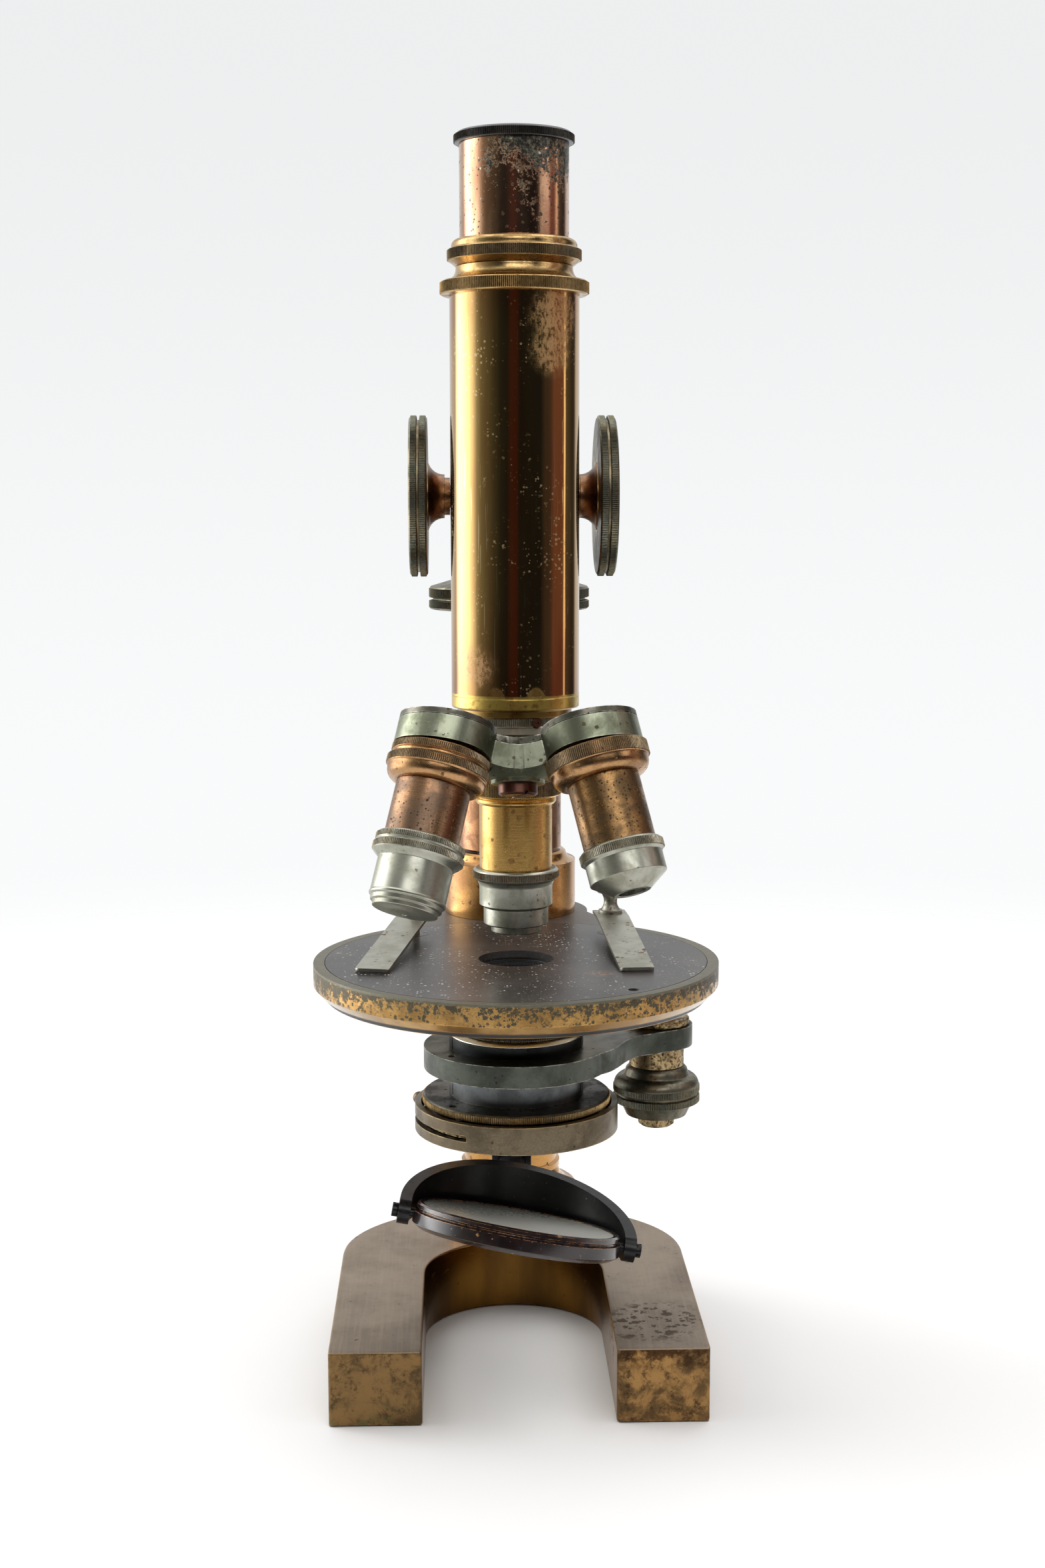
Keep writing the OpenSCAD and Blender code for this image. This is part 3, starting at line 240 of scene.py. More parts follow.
class Tree:
    """A material's node tree with short calls. Lengths are in millimetres of the part's own frame."""

    def __init__(self, name, turn=(0, 0, 0), centre=(0, 0, 0)):
        self.material = bpy.data.materials.new(name)
        self.material.use_nodes = True
        self.nodes = self.material.node_tree.nodes
        self.links = self.material.node_tree.links
        self.nodes.clear()
        coords = self.add("ShaderNodeTexCoord")
        shift = self.add("ShaderNodeVectorMath", operation="SUBTRACT")
        self.put(shift.inputs[0], coords.outputs["Object"])
        shift.inputs[1].default_value = centre
        spin = self.add("ShaderNodeMapping")
        spin.inputs["Rotation"].default_value = turn
        spin.inputs["Scale"].default_value = (1000, 1000, 1000)
        self.put(spin.inputs["Vector"], shift.outputs[0])
        self.place = spin.outputs["Vector"]
        self.normal = coords.outputs["Normal"]
        split = self.add("ShaderNodeSeparateXYZ")
        self.put(split.inputs[0], self.place)
        self.x, self.y, self.z = split.outputs

    def add(self, kind, **settings):
        made = self.nodes.new(kind)
        for key, value in settings.items():
            setattr(made, key, value)
        return made

    def put(self, socket, value):
        if isinstance(value, bpy.types.NodeSocket):
            self.links.new(value, socket)
        elif value is not None:
            socket.default_value = value

    def noise(self, size, detail=4.0, rough=0.6, stretch=(1, 1, 1), distort=0.0, seed=0.0):
        """Cloudy noise with features about size millimetres across."""
        scaled = self.add("ShaderNodeMapping")
        scaled.inputs["Scale"].default_value = [s / size for s in stretch]
        scaled.inputs["Location"].default_value = (seed, seed * 1.7, seed * 0.6)
        self.put(scaled.inputs["Vector"], self.place)
        made = self.add("ShaderNodeTexNoise")
        made.inputs["Scale"].default_value = 1
        made.inputs["Detail"].default_value = detail
        made.inputs["Roughness"].default_value = rough
        made.inputs["Distortion"].default_value = distort
        self.put(made.inputs["Vector"], scaled.outputs[0])
        return made.outputs["Fac"]

    def cells(self, size, seed=0.0):
        """Distance to scattered points about size millimetres apart, as a share of that, its shape ragged."""
        scaled = self.add("ShaderNodeMapping")
        scaled.inputs["Scale"].default_value = (1 / size,) * 3
        scaled.inputs["Location"].default_value = (seed, seed * 1.3, seed * 0.7)
        self.put(scaled.inputs["Vector"], self.place)
        wobble = self.add("ShaderNodeTexNoise")
        wobble.inputs["Scale"].default_value = 2.6
        wobble.inputs["Detail"].default_value = 5
        wobble.inputs["Roughness"].default_value = 0.75
        self.put(wobble.inputs["Vector"], scaled.outputs[0])
        shift = self.add("ShaderNodeVectorMath", operation="MULTIPLY_ADD")
        self.put(shift.inputs[0], wobble.outputs["Color"])
        shift.inputs[1].default_value = (0.9, 0.9, 0.9)
        self.put(shift.inputs[2], scaled.outputs[0])
        made = self.add("ShaderNodeTexVoronoi")
        made.inputs["Scale"].default_value = 1
        self.put(made.inputs["Vector"], shift.outputs[0])
        return made.outputs["Distance"], made.outputs["Color"]

    def step(self, value, start, end, low=0.0, high=1.0):
        """Smooth change from low at start to high at end."""
        made = self.add("ShaderNodeMapRange", interpolation_type="SMOOTHSTEP")
        self.put(made.inputs["Value"], value)
        if start > end:
            start, end, low, high = end, start, high, low
        made.inputs["From Min"].default_value = start
        made.inputs["From Max"].default_value = end
        made.inputs["To Min"].default_value = low
        made.inputs["To Max"].default_value = high
        return made.outputs["Result"]

    def math(self, operation, a, b=None):
        made = self.add("ShaderNodeMath", operation=operation)
        self.put(made.inputs[0], a)
        self.put(made.inputs[1], b)
        return made.outputs[0]

    def times(self, *values):
        total = values[0]
        for v in values[1:]:
            total = self.math("MULTIPLY", total, v)
        return total

    def either(self, a, b):
        return self.math("MAXIMUM", a, b)

    def mix(self, mask, a, b):
        """Colour a where the mask is 0 and b where it is 1."""
        made = self.add("ShaderNodeMix", data_type="RGBA")
        self.put(made.inputs["Factor"], mask)
        for socket, value in ((made.inputs[6], a), (made.inputs[7], b)):
            self.put(socket, value)
        return made.outputs[2]

    def blend(self, mask, a, b):
        """Number a where the mask is 0 and b where it is 1."""
        made = self.add("ShaderNodeMix", data_type="FLOAT")
        self.put(made.inputs["Factor"], mask)
        self.put(made.inputs[2], a)
        self.put(made.inputs[3], b)
        return made.outputs[0]

    def spot(self, centre, radius, soft=0.5):
        """1 within radius millimetres of a point, 0 outside, its edge ragged."""
        made = self.add("ShaderNodeVectorMath", operation="DISTANCE")
        self.put(made.inputs[0], self.place)
        made.inputs[1].default_value = centre
        ragged = self.noise(radius * 0.5, 6, 0.7)
        reach = self.math("ADD", made.outputs["Value"], self.times(ragged, radius * 0.9))
        return self.step(reach, radius * (1 + soft), radius)

    def specks(self, size, share, seed=0.0):
        """Small ragged marks, size is their spacing and share how much of it the largest fill."""
        distance, color = self.cells(size, seed)
        split = self.add("ShaderNodeSeparateColor")
        self.put(split.inputs[0], color)
        reach = self.times(split.outputs[0], split.outputs[1], share * 1.6)
        return self.step(self.math("SUBTRACT", reach, distance), 0.0, 0.08)

    def edges(self, width):
        """1 on edges and corners within about width millimetres."""
        bevel = self.add("ShaderNodeBevel", samples=6)
        bevel.inputs["Radius"].default_value = width * MM
        plain = self.add("ShaderNodeNewGeometry")
        dot = self.add("ShaderNodeVectorMath", operation="DOT_PRODUCT")
        self.put(dot.inputs[0], bevel.outputs[0])
        self.put(dot.inputs[1], plain.outputs["Normal"])
        return self.step(dot.outputs["Value"], 0.99, 0.90)

    def bump(self, height, distance, strength=1.0):
        made = self.add("ShaderNodeBump")
        made.inputs["Strength"].default_value = strength
        made.inputs["Distance"].default_value = distance * MM
        self.put(made.inputs["Height"], height)
        return made.outputs["Normal"]

    def attribute(self, name):
        return self.add("ShaderNodeAttribute", attribute_name=name).outputs["Fac"]

    def surface(self, color, rough, metal=1.0, normal=None, coat=0.0, coat_rough=0.1, specular=0.5, ior=1.5,
                alpha=None, through=0.0):
        shader = self.add("ShaderNodeBsdfPrincipled")
        if isinstance(color, tuple) and len(color) == 3:
            color = (*color, 1)
        self.put(shader.inputs["Base Color"], color)
        self.put(shader.inputs["Roughness"], rough)
        self.put(shader.inputs["Metallic"], metal)
        self.put(shader.inputs["Normal"], normal)
        self.put(shader.inputs["Alpha"], alpha)
        shader.inputs["Coat Weight"].default_value = coat
        shader.inputs["Coat Roughness"].default_value = coat_rough
        shader.inputs["Specular IOR Level"].default_value = specular
        shader.inputs["IOR"].default_value = ior
        shader.inputs["Transmission Weight"].default_value = through
        out = self.add("ShaderNodeOutputMaterial")
        self.put(out.inputs["Surface"], shader.outputs[0])
        return self.material


# ---- materials ----

def lathe(k):
    """Turn and centre for a Tree whose Z lies along the axis of objective k."""
    return tuple(station(k).to_quaternion().inverted().to_euler("XYZ")), tuple(station(k).translation)


def patinated(name, bright, dull, dark, patch=(12, 0.45, 0.62), rough=(0.22, 0.5), speck=(1.6, 0.35),
              edge=None, grain=0.0, turned=((0, 0, 0), (0, 0, 0)), coat=0.0, fine=0.35):
    """Metal that is bright in places, dulled in cloudy patches and marked with dark specks.

    patch is the patches' size and where they start and end in the noise, rough the roughness of bright and dull
    metal, speck the specks' spacing and share, grain the strength of turning marks and fine that of a thin veil.
    """
    t = Tree(name, *turned)
    size, start, end = patch
    clouds = t.step(t.noise(size, 8, 0.62, distort=0.6), start, end)
    speckle = t.specks(*speck)
    veil = t.step(t.noise(0.5, 5, 0.7, seed=4), 0.35, 0.75, 0, fine)
    color = t.mix(clouds, bright, dull)
    color = t.mix(veil, color, dark)
    color = t.mix(t.times(speckle, t.blend(clouds, 0.45, 0.95)), color, dark)
    shine = t.blend(clouds, rough[0], rough[1])
    shine = t.math("ADD", shine, t.times(veil, 0.12))
    shine = t.blend(speckle, shine, 0.62)
    height = t.math("ADD", t.times(t.noise(0.35, 6, 0.7, seed=2), 0.5), t.times(speckle, -0.5))
    if grain:
        lines = t.noise(0.22, 4, 0.7, stretch=(0.012, 0.012, 1), seed=7)
        height = t.math("ADD", height, t.times(lines, grain * 2))
        color = t.mix(t.step(lines, 0.35, 0.75, 0, grain), color, dull)
    if edge:
        worn = t.times(t.edges(0.5), t.step(t.noise(3, 5, 0.7, seed=6), 0.38, 0.55))
        color = t.mix(worn, color, edge)
    return t.surface(color, shine, 1.0, t.bump(height, 0.03), coat=coat, coat_rough=0.12)


def milled(name, ridge, valley, gold=None, rough=(0.38, 0.65)):
    """Milled band: the ridge attribute is 1 on the teeth and 0 between them."""
    t = Tree(name)
    tooth = t.attribute("ridge")
    clouds = t.step(t.noise(4, 6, 0.65), 0.42, 0.6)
    top = t.mix(clouds, ridge, gold or ridge)
    worn = t.step(t.math("ADD", tooth, t.noise(0.8, 3, 0.6, seed=3)), 0.8, 1.25)
    color = t.mix(worn, valley, top)
    height = t.noise(0.3, 4, 0.7)
    return t.surface(color, t.blend(worn, rough[1], rough[0]), 1.0, t.bump(height, 0.02))


def tube_lacquer():
    """Golden lacquer with a bare band at the foot, worn patches, pin-prick losses and scratches."""
    t = Tree("tube_lacquer")
    z = t.z
    low, high = (v.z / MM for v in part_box("body_tube"))
    front = AXIS_Y / MM
    streak = t.noise(9, 5, 0.6, stretch=(1, 1, 0.12), seed=2)
    color = t.mix(t.step(streak, 0.42, 0.62), rgb(192, 158, 98), rgb(180, 140, 86))
    reach = t.math("ADD", t.step(z, low + 34, low, 0.0, 0.5), t.step(z, high - 26, high, 0.0, 0.35))
    brown = t.step(t.math("ADD", t.noise(14, 4, 0.55, stretch=(1, 1, 0.4), seed=21), reach), 0.62, 1.0)
    color = t.mix(t.times(brown, 0.6), color, rgb(150, 96, 58))
    pricks = t.times(t.specks(0.7, 0.40, seed=5), t.step(t.noise(13, 5, 0.65, seed=8), 0.47, 0.62), 0.6)
    blobs = t.times(t.specks(11, 0.085, seed=31), 0.7)
    marks = t.either(pricks, blobs)
    lines = t.noise(1.0, 2, 0.5, stretch=(2.2, 0.6, 0.05), distort=0.3, seed=11)
    scratch = t.times(t.step(lines, 0.66, 0.70), t.step(t.noise(20, 2, 0.5, seed=3), 0.45, 0.6), 0.6)
    upper = t.either(t.spot((9.6, front - 12.2, high - 6), 7.0, 0.7),
                     t.spot((8.4, front - 13, high - 14), 5.0, 0.9))
    lower = t.spot((-9.5, front - 12.2, low + 12), 4.6, 0.8)
    brushed = t.step(t.noise(1.3, 8, 0.78, stretch=(1.4, 1, 0.7), seed=9), 0.36, 0.62)
    worn = t.times(t.either(upper, lower), brushed)
    color = t.mix(t.either(marks, scratch), color, rgb(214, 196, 160))
    color = t.mix(t.times(worn, 0.85), color, rgb(190, 148, 104))
    band = t.step(z, low + 5.5, low + 5.1)
    stain = t.step(t.noise(2.2, 5, 0.7, seed=12), 0.52, 0.70)
    color = t.mix(band, color, t.mix(stain, rgb(206, 176, 92), rgb(150, 116, 58)))
    color = t.mix(t.times(t.step(z, low + 2.4, low + 1.9), 0.75), color, rgb(104, 70, 34))
    dusty = t.step(t.noise(0.7, 4, 0.7, seed=14), 0.3, 0.8)
    shine = t.math("ADD", t.blend(worn, 0.05, 0.5), t.times(dusty, 0.03))
    shine = t.blend(t.either(band, marks), shine, 0.32)
    height = t.math("ADD", t.times(marks, -0.4), t.times(scratch, -0.4))
    dents = t.noise(7, 3, 0.5, stretch=(1, 1, 0.22), distort=0.5, seed=6)
    height = t.math("ADD", height, t.times(dents, 1.6))
    return t.surface(color, shine, t.blend(t.either(worn, marks), 1.0, 0.6), t.bump(height, 0.02),
                     coat=0.3, coat_rough=0.05)


def draw_tube_copper():
    """Copper-brown tube with dark corrosion, thickest near the top at the right."""
    t = Tree("draw_tube_copper")
    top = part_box("draw_tube")[1].z / MM
    streak = t.step(t.noise(5, 6, 0.6, stretch=(1, 1, 0.25)), 0.4, 0.65)
    base = t.mix(streak, rgb(198, 158, 124), rgb(166, 122, 92))
    rise = t.times(t.step(t.z, top - 15, top - 1, 0.0, 0.16), t.step(t.x, -13, 3, 0.45, 1.0))
    right = t.step(t.x, -8, 8, -0.01, 0.03)
    cloud = t.math("ADD", t.times(t.noise(6, 4, 0.6, seed=5), 0.5),
                   t.times(t.noise(0.9, 6, 0.75, seed=15), 0.5))
    black = t.step(t.math("ADD", t.math("ADD", cloud, right), rise), 0.60, 0.64)
    crust = t.mix(t.step(t.noise(0.9, 6, 0.8, seed=8), 0.46, 0.60), rgb(40, 38, 34), rgb(120, 118, 100))
    color = t.mix(black, base, crust)
    speck = t.specks(1.1, 0.34, seed=4)
    color = t.mix(t.times(speck, 0.8), color, rgb(46, 36, 28))
    pale = t.times(t.specks(1.7, 0.2, seed=9), t.step(t.z, top - 30, top - 8))
    color = t.mix(pale, color, rgb(220, 214, 196))
    shine = t.blend(t.either(black, speck), 0.13, 0.6)
    height = t.math("ADD", t.times(black, -0.5), t.times(t.noise(0.4, 5, 0.7), 0.4))
    return t.surface(color, shine, t.blend(black, 1.0, 0.6), t.bump(height, 0.03), coat=0.3, coat_rough=0.1)


def stage_lacquer():
    """Gold lacquer on the stage rim, eaten away in dark freckles; its upper edge is grey-green."""
    t = Tree("stage_lacquer")
    low, top = (v.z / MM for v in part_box("stage_body"))
    off = t.math("SUBTRACT", t.y, AXIS_Y / MM)
    out = t.math("SQRT", t.math("ADD", t.times(t.x, t.x), t.times(off, off)))
    ahead = t.step(t.math("DIVIDE", off, out), -0.93, -0.35)
    gold = t.mix(t.step(t.noise(9, 5, 0.6), 0.4, 0.6), rgb(188, 148, 88), rgb(156, 120, 68))
    on_rim = t.step(t.z, top - 5.4, top - 5.0)
    height_up = t.step(t.z, top - 5.2, top - 0.4, 0.0, 0.10)
    bare = t.noise(1.9, 10, 0.80, seed=3)
    big = t.step(t.math("ADD", t.math("ADD", bare, height_up), t.times(ahead, 0.06)), 0.565, 0.60)
    small = t.times(t.specks(0.8, 0.6, seed=6), t.step(t.noise(7, 3, 0.5, seed=9), 0.36, 0.55))
    freckles = t.times(t.either(big, small), on_rim)
    color = t.mix(freckles, gold, t.mix(t.noise(3, 5, 0.7, seed=17), rgb(78, 66, 50), rgb(100, 98, 82)))
    below = t.times(t.step(t.z, top - 5.0, top - 5.3), ahead)
    color = t.mix(t.times(below, 0.85), color, rgb(186, 176, 158))
    lip = t.step(t.math("ADD", t.z, t.noise(1.5, 5, 0.7, seed=19)), top - 0.25, top + 0.1)
    color = t.mix(lip, color, t.mix(t.noise(2, 4, 0.6), rgb(132, 128, 112), rgb(100, 98, 84)))
    rear = t.step(t.y, AXIS_Y / MM + 36, AXIS_Y / MM + 44)
    color = t.mix(t.times(rear, t.step(t.z, top - 1, top - 0.5)), color, rgb(112, 108, 102))
    inside = t.times(t.step(out, 48.4, 47.8), t.step(t.z, low + 0.1, low + 0.3), t.step(t.z, top - 0.1, top - 0.3))
    color = t.mix(inside, color, rgb(16, 15, 14))
    dull = t.either(t.either(freckles, lip), inside)
    shine = t.blend(dull, 0.2, 0.55)
    height = t.math("ADD", t.times(freckles, -0.5), t.times(t.noise(0.5, 5, 0.7), 0.3))
    return t.surface(color, shine, t.blend(inside, 1.0, 0.0), t.bump(height, 0.04), coat=0.15, coat_rough=0.15)


def vulcanite():
    """Black hard rubber gone grey, with white dust, a thin brown film and one rusty stain at the front right."""
    t = Tree("vulcanite")
    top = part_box("stage_plate")[1].z / MM
    front = AXIS_Y / MM
    base = t.mix(t.step(t.noise(24, 5, 0.6), 0.35, 0.7), rgb(46, 44, 42), rgb(70, 66, 62))
    stain = t.times(t.spot((19.5, front - 18, top), 3.2, 0.9), t.step(t.noise(1.1, 5, 0.75, seed=23), 0.50, 0.62))
    dust = t.times(t.specks(0.8, 0.30, seed=5), t.step(t.noise(22, 4, 0.6, seed=7), 0.34, 0.58))
    grit = t.specks(2.4, 0.10, seed=9)
    film = t.step(t.noise(1.6, 6, 0.75, seed=4), 0.50, 0.80, 0, 0.28)
    color = t.mix(film, base, rgb(118, 112, 102))
    color = t.mix(stain, color, rgb(150, 106, 62))
    color = t.mix(t.either(dust, grit), color, rgb(206, 204, 198))
    shine = t.blend(t.either(dust, film), 0.34, 0.7)
    height = t.math("ADD", t.times(t.noise(0.5, 5, 0.7), 0.4), t.times(grit, 0.6))
    return t.surface(color, shine, 0.0, t.bump(height, 0.03), specular=0.45)


def black_lacquer(name, worn_color, wear=0.5, tone=(14, 14, 14), rough=0.2, gloss=0.4):
    """Black lacquer that has worn through to the metal along its edges."""
    t = Tree(name)
    base = t.mix(t.step(t.noise(8, 5, 0.6), 0.4, 0.65), rgb(*tone), rgb(*(v * 1.6 + 4 for v in tone)))
    worn = t.times(t.edges(0.3), t.step(t.noise(1.6, 6, 0.7, seed=4), 0.62 - 0.2 * wear, 0.68 - 0.16 * wear))
    chips = t.times(t.specks(2.2, 0.2, seed=3), wear)
    bare = t.either(worn, chips)
    dust = t.times(t.specks(1.2, 0.16, seed=8), 0.5)
    color = t.mix(bare, base, worn_color)
    color = t.mix(dust, color, rgb(140, 138, 130))
    shine = t.math("ADD", t.blend(bare, rough, 0.4), t.step(t.noise(2.5, 4, 0.6, seed=6), 0.4, 0.8, 0, 0.15))
    height = t.math("ADD", t.times(t.noise(0.6, 5, 0.6), 0.3), t.times(bare, -0.5))
    return t.surface(color, shine, t.times(bare, 0.9), t.bump(height, 0.03), coat=gloss, coat_rough=0.15,
                     specular=0.2 + 0.7 * gloss)


def lipped_black():
    """Black condenser mount with a bright turned lip below its milled edge."""
    t = Tree("lipped_black")
    low, high = (v.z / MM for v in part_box("split_sleeve"))
    lip = t.times(t.step(t.z, high - 0.1, high), t.step(t.z, high + 1.5, high + 1.4))
    color = t.mix(lip, rgb(20, 20, 20), rgb(206, 202, 188))
    return t.surface(color, t.blend(lip, 0.3, 0.22), lip, t.bump(t.noise(0.6, 5, 0.6), 0.01), coat=0.3)


def foot_bronze():
    """Grey-brown on top, gold and brown on the toes, and a smooth amber wall inside the horseshoe."""
    t = Tree("foot_bronze")
    low, high = (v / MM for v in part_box("foot"))
    split = t.add("ShaderNodeSeparateXYZ")
    t.put(split.inputs[0], t.normal)
    up = t.step(split.outputs[2], 0.4, 0.8)
    grain = t.noise(0.8, 4, 0.6, stretch=(1, 0.04, 1), seed=3)
    clouds = t.step(t.noise(26, 7, 0.62), 0.36, 0.68)
    top = t.mix(clouds, rgb(154, 140, 124), rgb(124, 110, 95))
    top = t.mix(t.step(grain, 0.4, 0.75, 0, 0.24), top, rgb(172, 158, 140))
    mottle = t.step(t.noise(1.6, 8, 0.78, seed=18), 0.54, 0.72, 0, 0.45)
    top = t.mix(mottle, top, rgb(104, 90, 74))
    place = t.spot((33, low.y + 17, high.z), 15, 0.5)
    blots = t.times(place, t.either(t.specks(2.6, 0.75, seed=13), t.specks(1.2, 0.6, seed=41)))
    stray = t.step(t.noise(4.2, 10, 0.74, seed=27), 0.635, 0.665)
    marks = t.either(blots, stray)
    top = t.mix(t.times(marks, 0.85), top, rgb(72, 60, 48))
    patch = t.step(t.noise(7, 9, 0.7, seed=5, distort=0.4), 0.42, 0.62)
    side = t.mix(patch, rgb(164, 126, 78), rgb(104, 82, 56))
    rust = t.step(t.noise(3.0, 10, 0.80, seed=9), 0.50, 0.62)
    side = t.mix(t.times(rust, 0.85), side, rgb(66, 50, 36))
    left = t.step(t.x, 0, -4)
    side = t.mix(t.times(left, 0.5), side, rgb(84, 72, 52))
    green = t.times(t.step(t.z, 8, 0), left, t.step(t.noise(5, 6, 0.7, seed=15), 0.50, 0.60))
    side = t.mix(t.times(green, 0.7), side, rgb(92, 98, 62))
    stained = t.times(t.step(t.z, high.z - 7, high.z - 2), t.step(t.x, 0, 4),
                      t.step(t.noise(5, 7, 0.7, seed=29), 0.38, 0.52))
    side = t.mix(t.times(stained, 0.9), side, rgb(62, 42, 28))
    width = t.step(t.math("ABSOLUTE", t.x), 26, 25)
    inner = t.times(width, t.step(t.y, low.y + 0.6, low.y + 1.2), t.step(t.y, high.y - 14, high.y - 16))
    drawn = t.step(t.noise(16, 4, 0.5, stretch=(1, 1, 0.3), seed=31), 0.4, 0.65)
    wall = t.mix(drawn, rgb(138, 98, 42), rgb(98, 70, 34))
    side = t.mix(inner, side, wall)
    color = t.mix(up, side, top)
    worn = t.times(t.edges(0.7), t.step(t.noise(3, 5, 0.7, seed=6), 0.34, 0.5))
    color = t.mix(t.times(worn, 0.8), color, rgb(214, 172, 104))
    shine = t.blend(up, t.blend(patch, 0.36, 0.52), 0.52)
    shine = t.blend(t.times(inner, t.math("SUBTRACT", 1.0, up)), shine, 0.24)
    shine = t.blend(marks, shine, 0.66)
    height = t.math("ADD", t.times(t.noise(0.6, 6, 0.7), 0.4), t.times(marks, -0.5))
    return t.surface(color, shine, t.blend(up, 1.0, 0.8), t.bump(height, 0.05))


def pitted_nickel(name, bright, dull, brown, size=7, pit=0.34, painted_shade_above=None):
    """Nickel plate gone grey-green, browned where the brass comes through, with painted shade, nearly black, above
    a height.
    """
    t = Tree(name)
    clouds = t.step(t.noise(size, 8, 0.66, distort=0.4), 0.38, 0.64)
    color = t.mix(clouds, bright, dull)
    fine = t.step(t.noise(0.6, 6, 0.75, seed=3), 0.48, 0.75, 0, 0.4)
    color = t.mix(fine, color, t.mix(clouds, dull, brown))
    pits = t.specks(1.5, pit, seed=7)
    color = t.mix(t.times(pits, 0.75), color, brown)
    worn = t.times(t.edges(0.4), t.step(t.noise(2, 5, 0.7, seed=6), 0.4, 0.6))
    color = t.mix(t.times(worn, 0.7), color, rgb(206, 202, 186))
    # painted shade: from this height up the sleeve is darkened almost to black
    if painted_shade_above:
        shaded = t.times(t.step(t.z, painted_shade_above - 0.1, painted_shade_above + 0.1), 0.85)
        color = t.mix(shaded, color, rgb(24, 27, 26))
    shine = t.math("ADD", t.blend(clouds, 0.30, 0.44), t.times(pits, 0.25))
    height = t.math("ADD", t.times(t.noise(0.5, 5, 0.6), 0.3), t.times(pits, -0.6))
    return t.surface(color, shine, 1.0, t.bump(height, 0.03))


def knob_bronze():
    """Grey-green bronze face and milled rims, brown copper at the neck of the coarse knobs."""
    t = Tree("knob_bronze")
    clouds = t.step(t.noise(6, 8, 0.66), 0.40, 0.62)
    color = t.mix(clouds, rgb(122, 116, 100), rgb(88, 88, 76))
    color = t.mix(t.step(t.noise(1.0, 8, 0.78, seed=3), 0.54, 0.66), color, rgb(66, 52, 38))
    color = t.mix(t.step(t.noise(1.3, 8, 0.78, seed=5), 0.60, 0.68), color, rgb(170, 158, 132))
    across = t.math("SUBTRACT", t.y, PINION.y / MM)
    above = t.math("SUBTRACT", t.z, PINION.z / MM)
    away = t.math("SQRT", t.math("ADD", t.times(across, across), t.times(above, above)))
    neck = t.step(t.math("ADD", away, t.noise(2, 5, 0.7, seed=9)), 10.2, 9.4)
    neck = t.times(neck, t.step(t.math("ABSOLUTE", t.x), 22.6, 22.2))
    color = t.mix(neck, color, t.mix(clouds, rgb(134, 102, 80), rgb(100, 76, 60)))
    gold = t.times(t.edges(0.4), t.step(t.noise(2, 5, 0.7, seed=6), 0.36, 0.5))
    color = t.mix(t.times(gold, 0.7), color, rgb(190, 156, 98))
    shine = t.blend(neck, t.blend(clouds, 0.34, 0.5), 0.3)
    return t.surface(color, shine, 1.0, t.bump(t.noise(0.5, 6, 0.7), 0.02))


def rusty_steel(name, bright, dull, rust, share=0.3):
    t = Tree(name)
    clouds = t.step(t.noise(9, 6, 0.6), 0.40, 0.66)
    color = t.mix(clouds, bright, dull)
    few = t.step(t.noise(9, 3, 0.5, seed=12), 0.46, 0.60)
    bits = t.times(t.specks(1.2, share + 0.25, seed=3), few)
    color = t.mix(t.times(bits, 0.8), color, rust)
    lines = t.noise(0.4, 3, 0.6, stretch=(1, 0.06, 1), seed=4)
    shine = t.blend(bits, t.blend(clouds, 0.34, 0.46), 0.7)
    height = t.math("ADD", t.times(lines, 0.3), t.times(bits, 0.4))
    return t.surface(color, shine, 1.0, t.bump(height, 0.02))


def dusty_mirror():
    """Silvered glass under a film of dust that lies thicker at the right and front."""
    t = Tree("dusty_mirror", centre=middle("mirror_case"))
    drift = t.step(t.math("SUBTRACT", t.x, t.y), -26, 34, 0.2, 0.95)
    film = t.step(t.noise(1.2, 6, 0.75, seed=2), 0.3, 0.75)
    grit = t.specks(1.0, 0.22, seed=5)
    dust = t.times(t.math("ADD", drift, t.times(film, 0.25)), 0.85)
    color = t.mix(dust, rgb(206, 210, 200), rgb(232, 233, 224))
    color = t.mix(grit, color, rgb(222, 222, 214))
    shine = t.blend(dust, 0.14, 0.5)
    return t.surface(color, shine, t.blend(dust, 0.9, 0.0), t.bump(grit, 0.02), coat=0.5, coat_rough=0.08)


def lens_glass():
    t = Tree("lens_glass")
    smear = t.step(t.noise(2.5, 4, 0.6), 0.4, 0.7, 0.02, 0.08)
    return t.surface((0.85, 0.92, 0.9), smear, 0.0, through=1.0, ior=1.52)


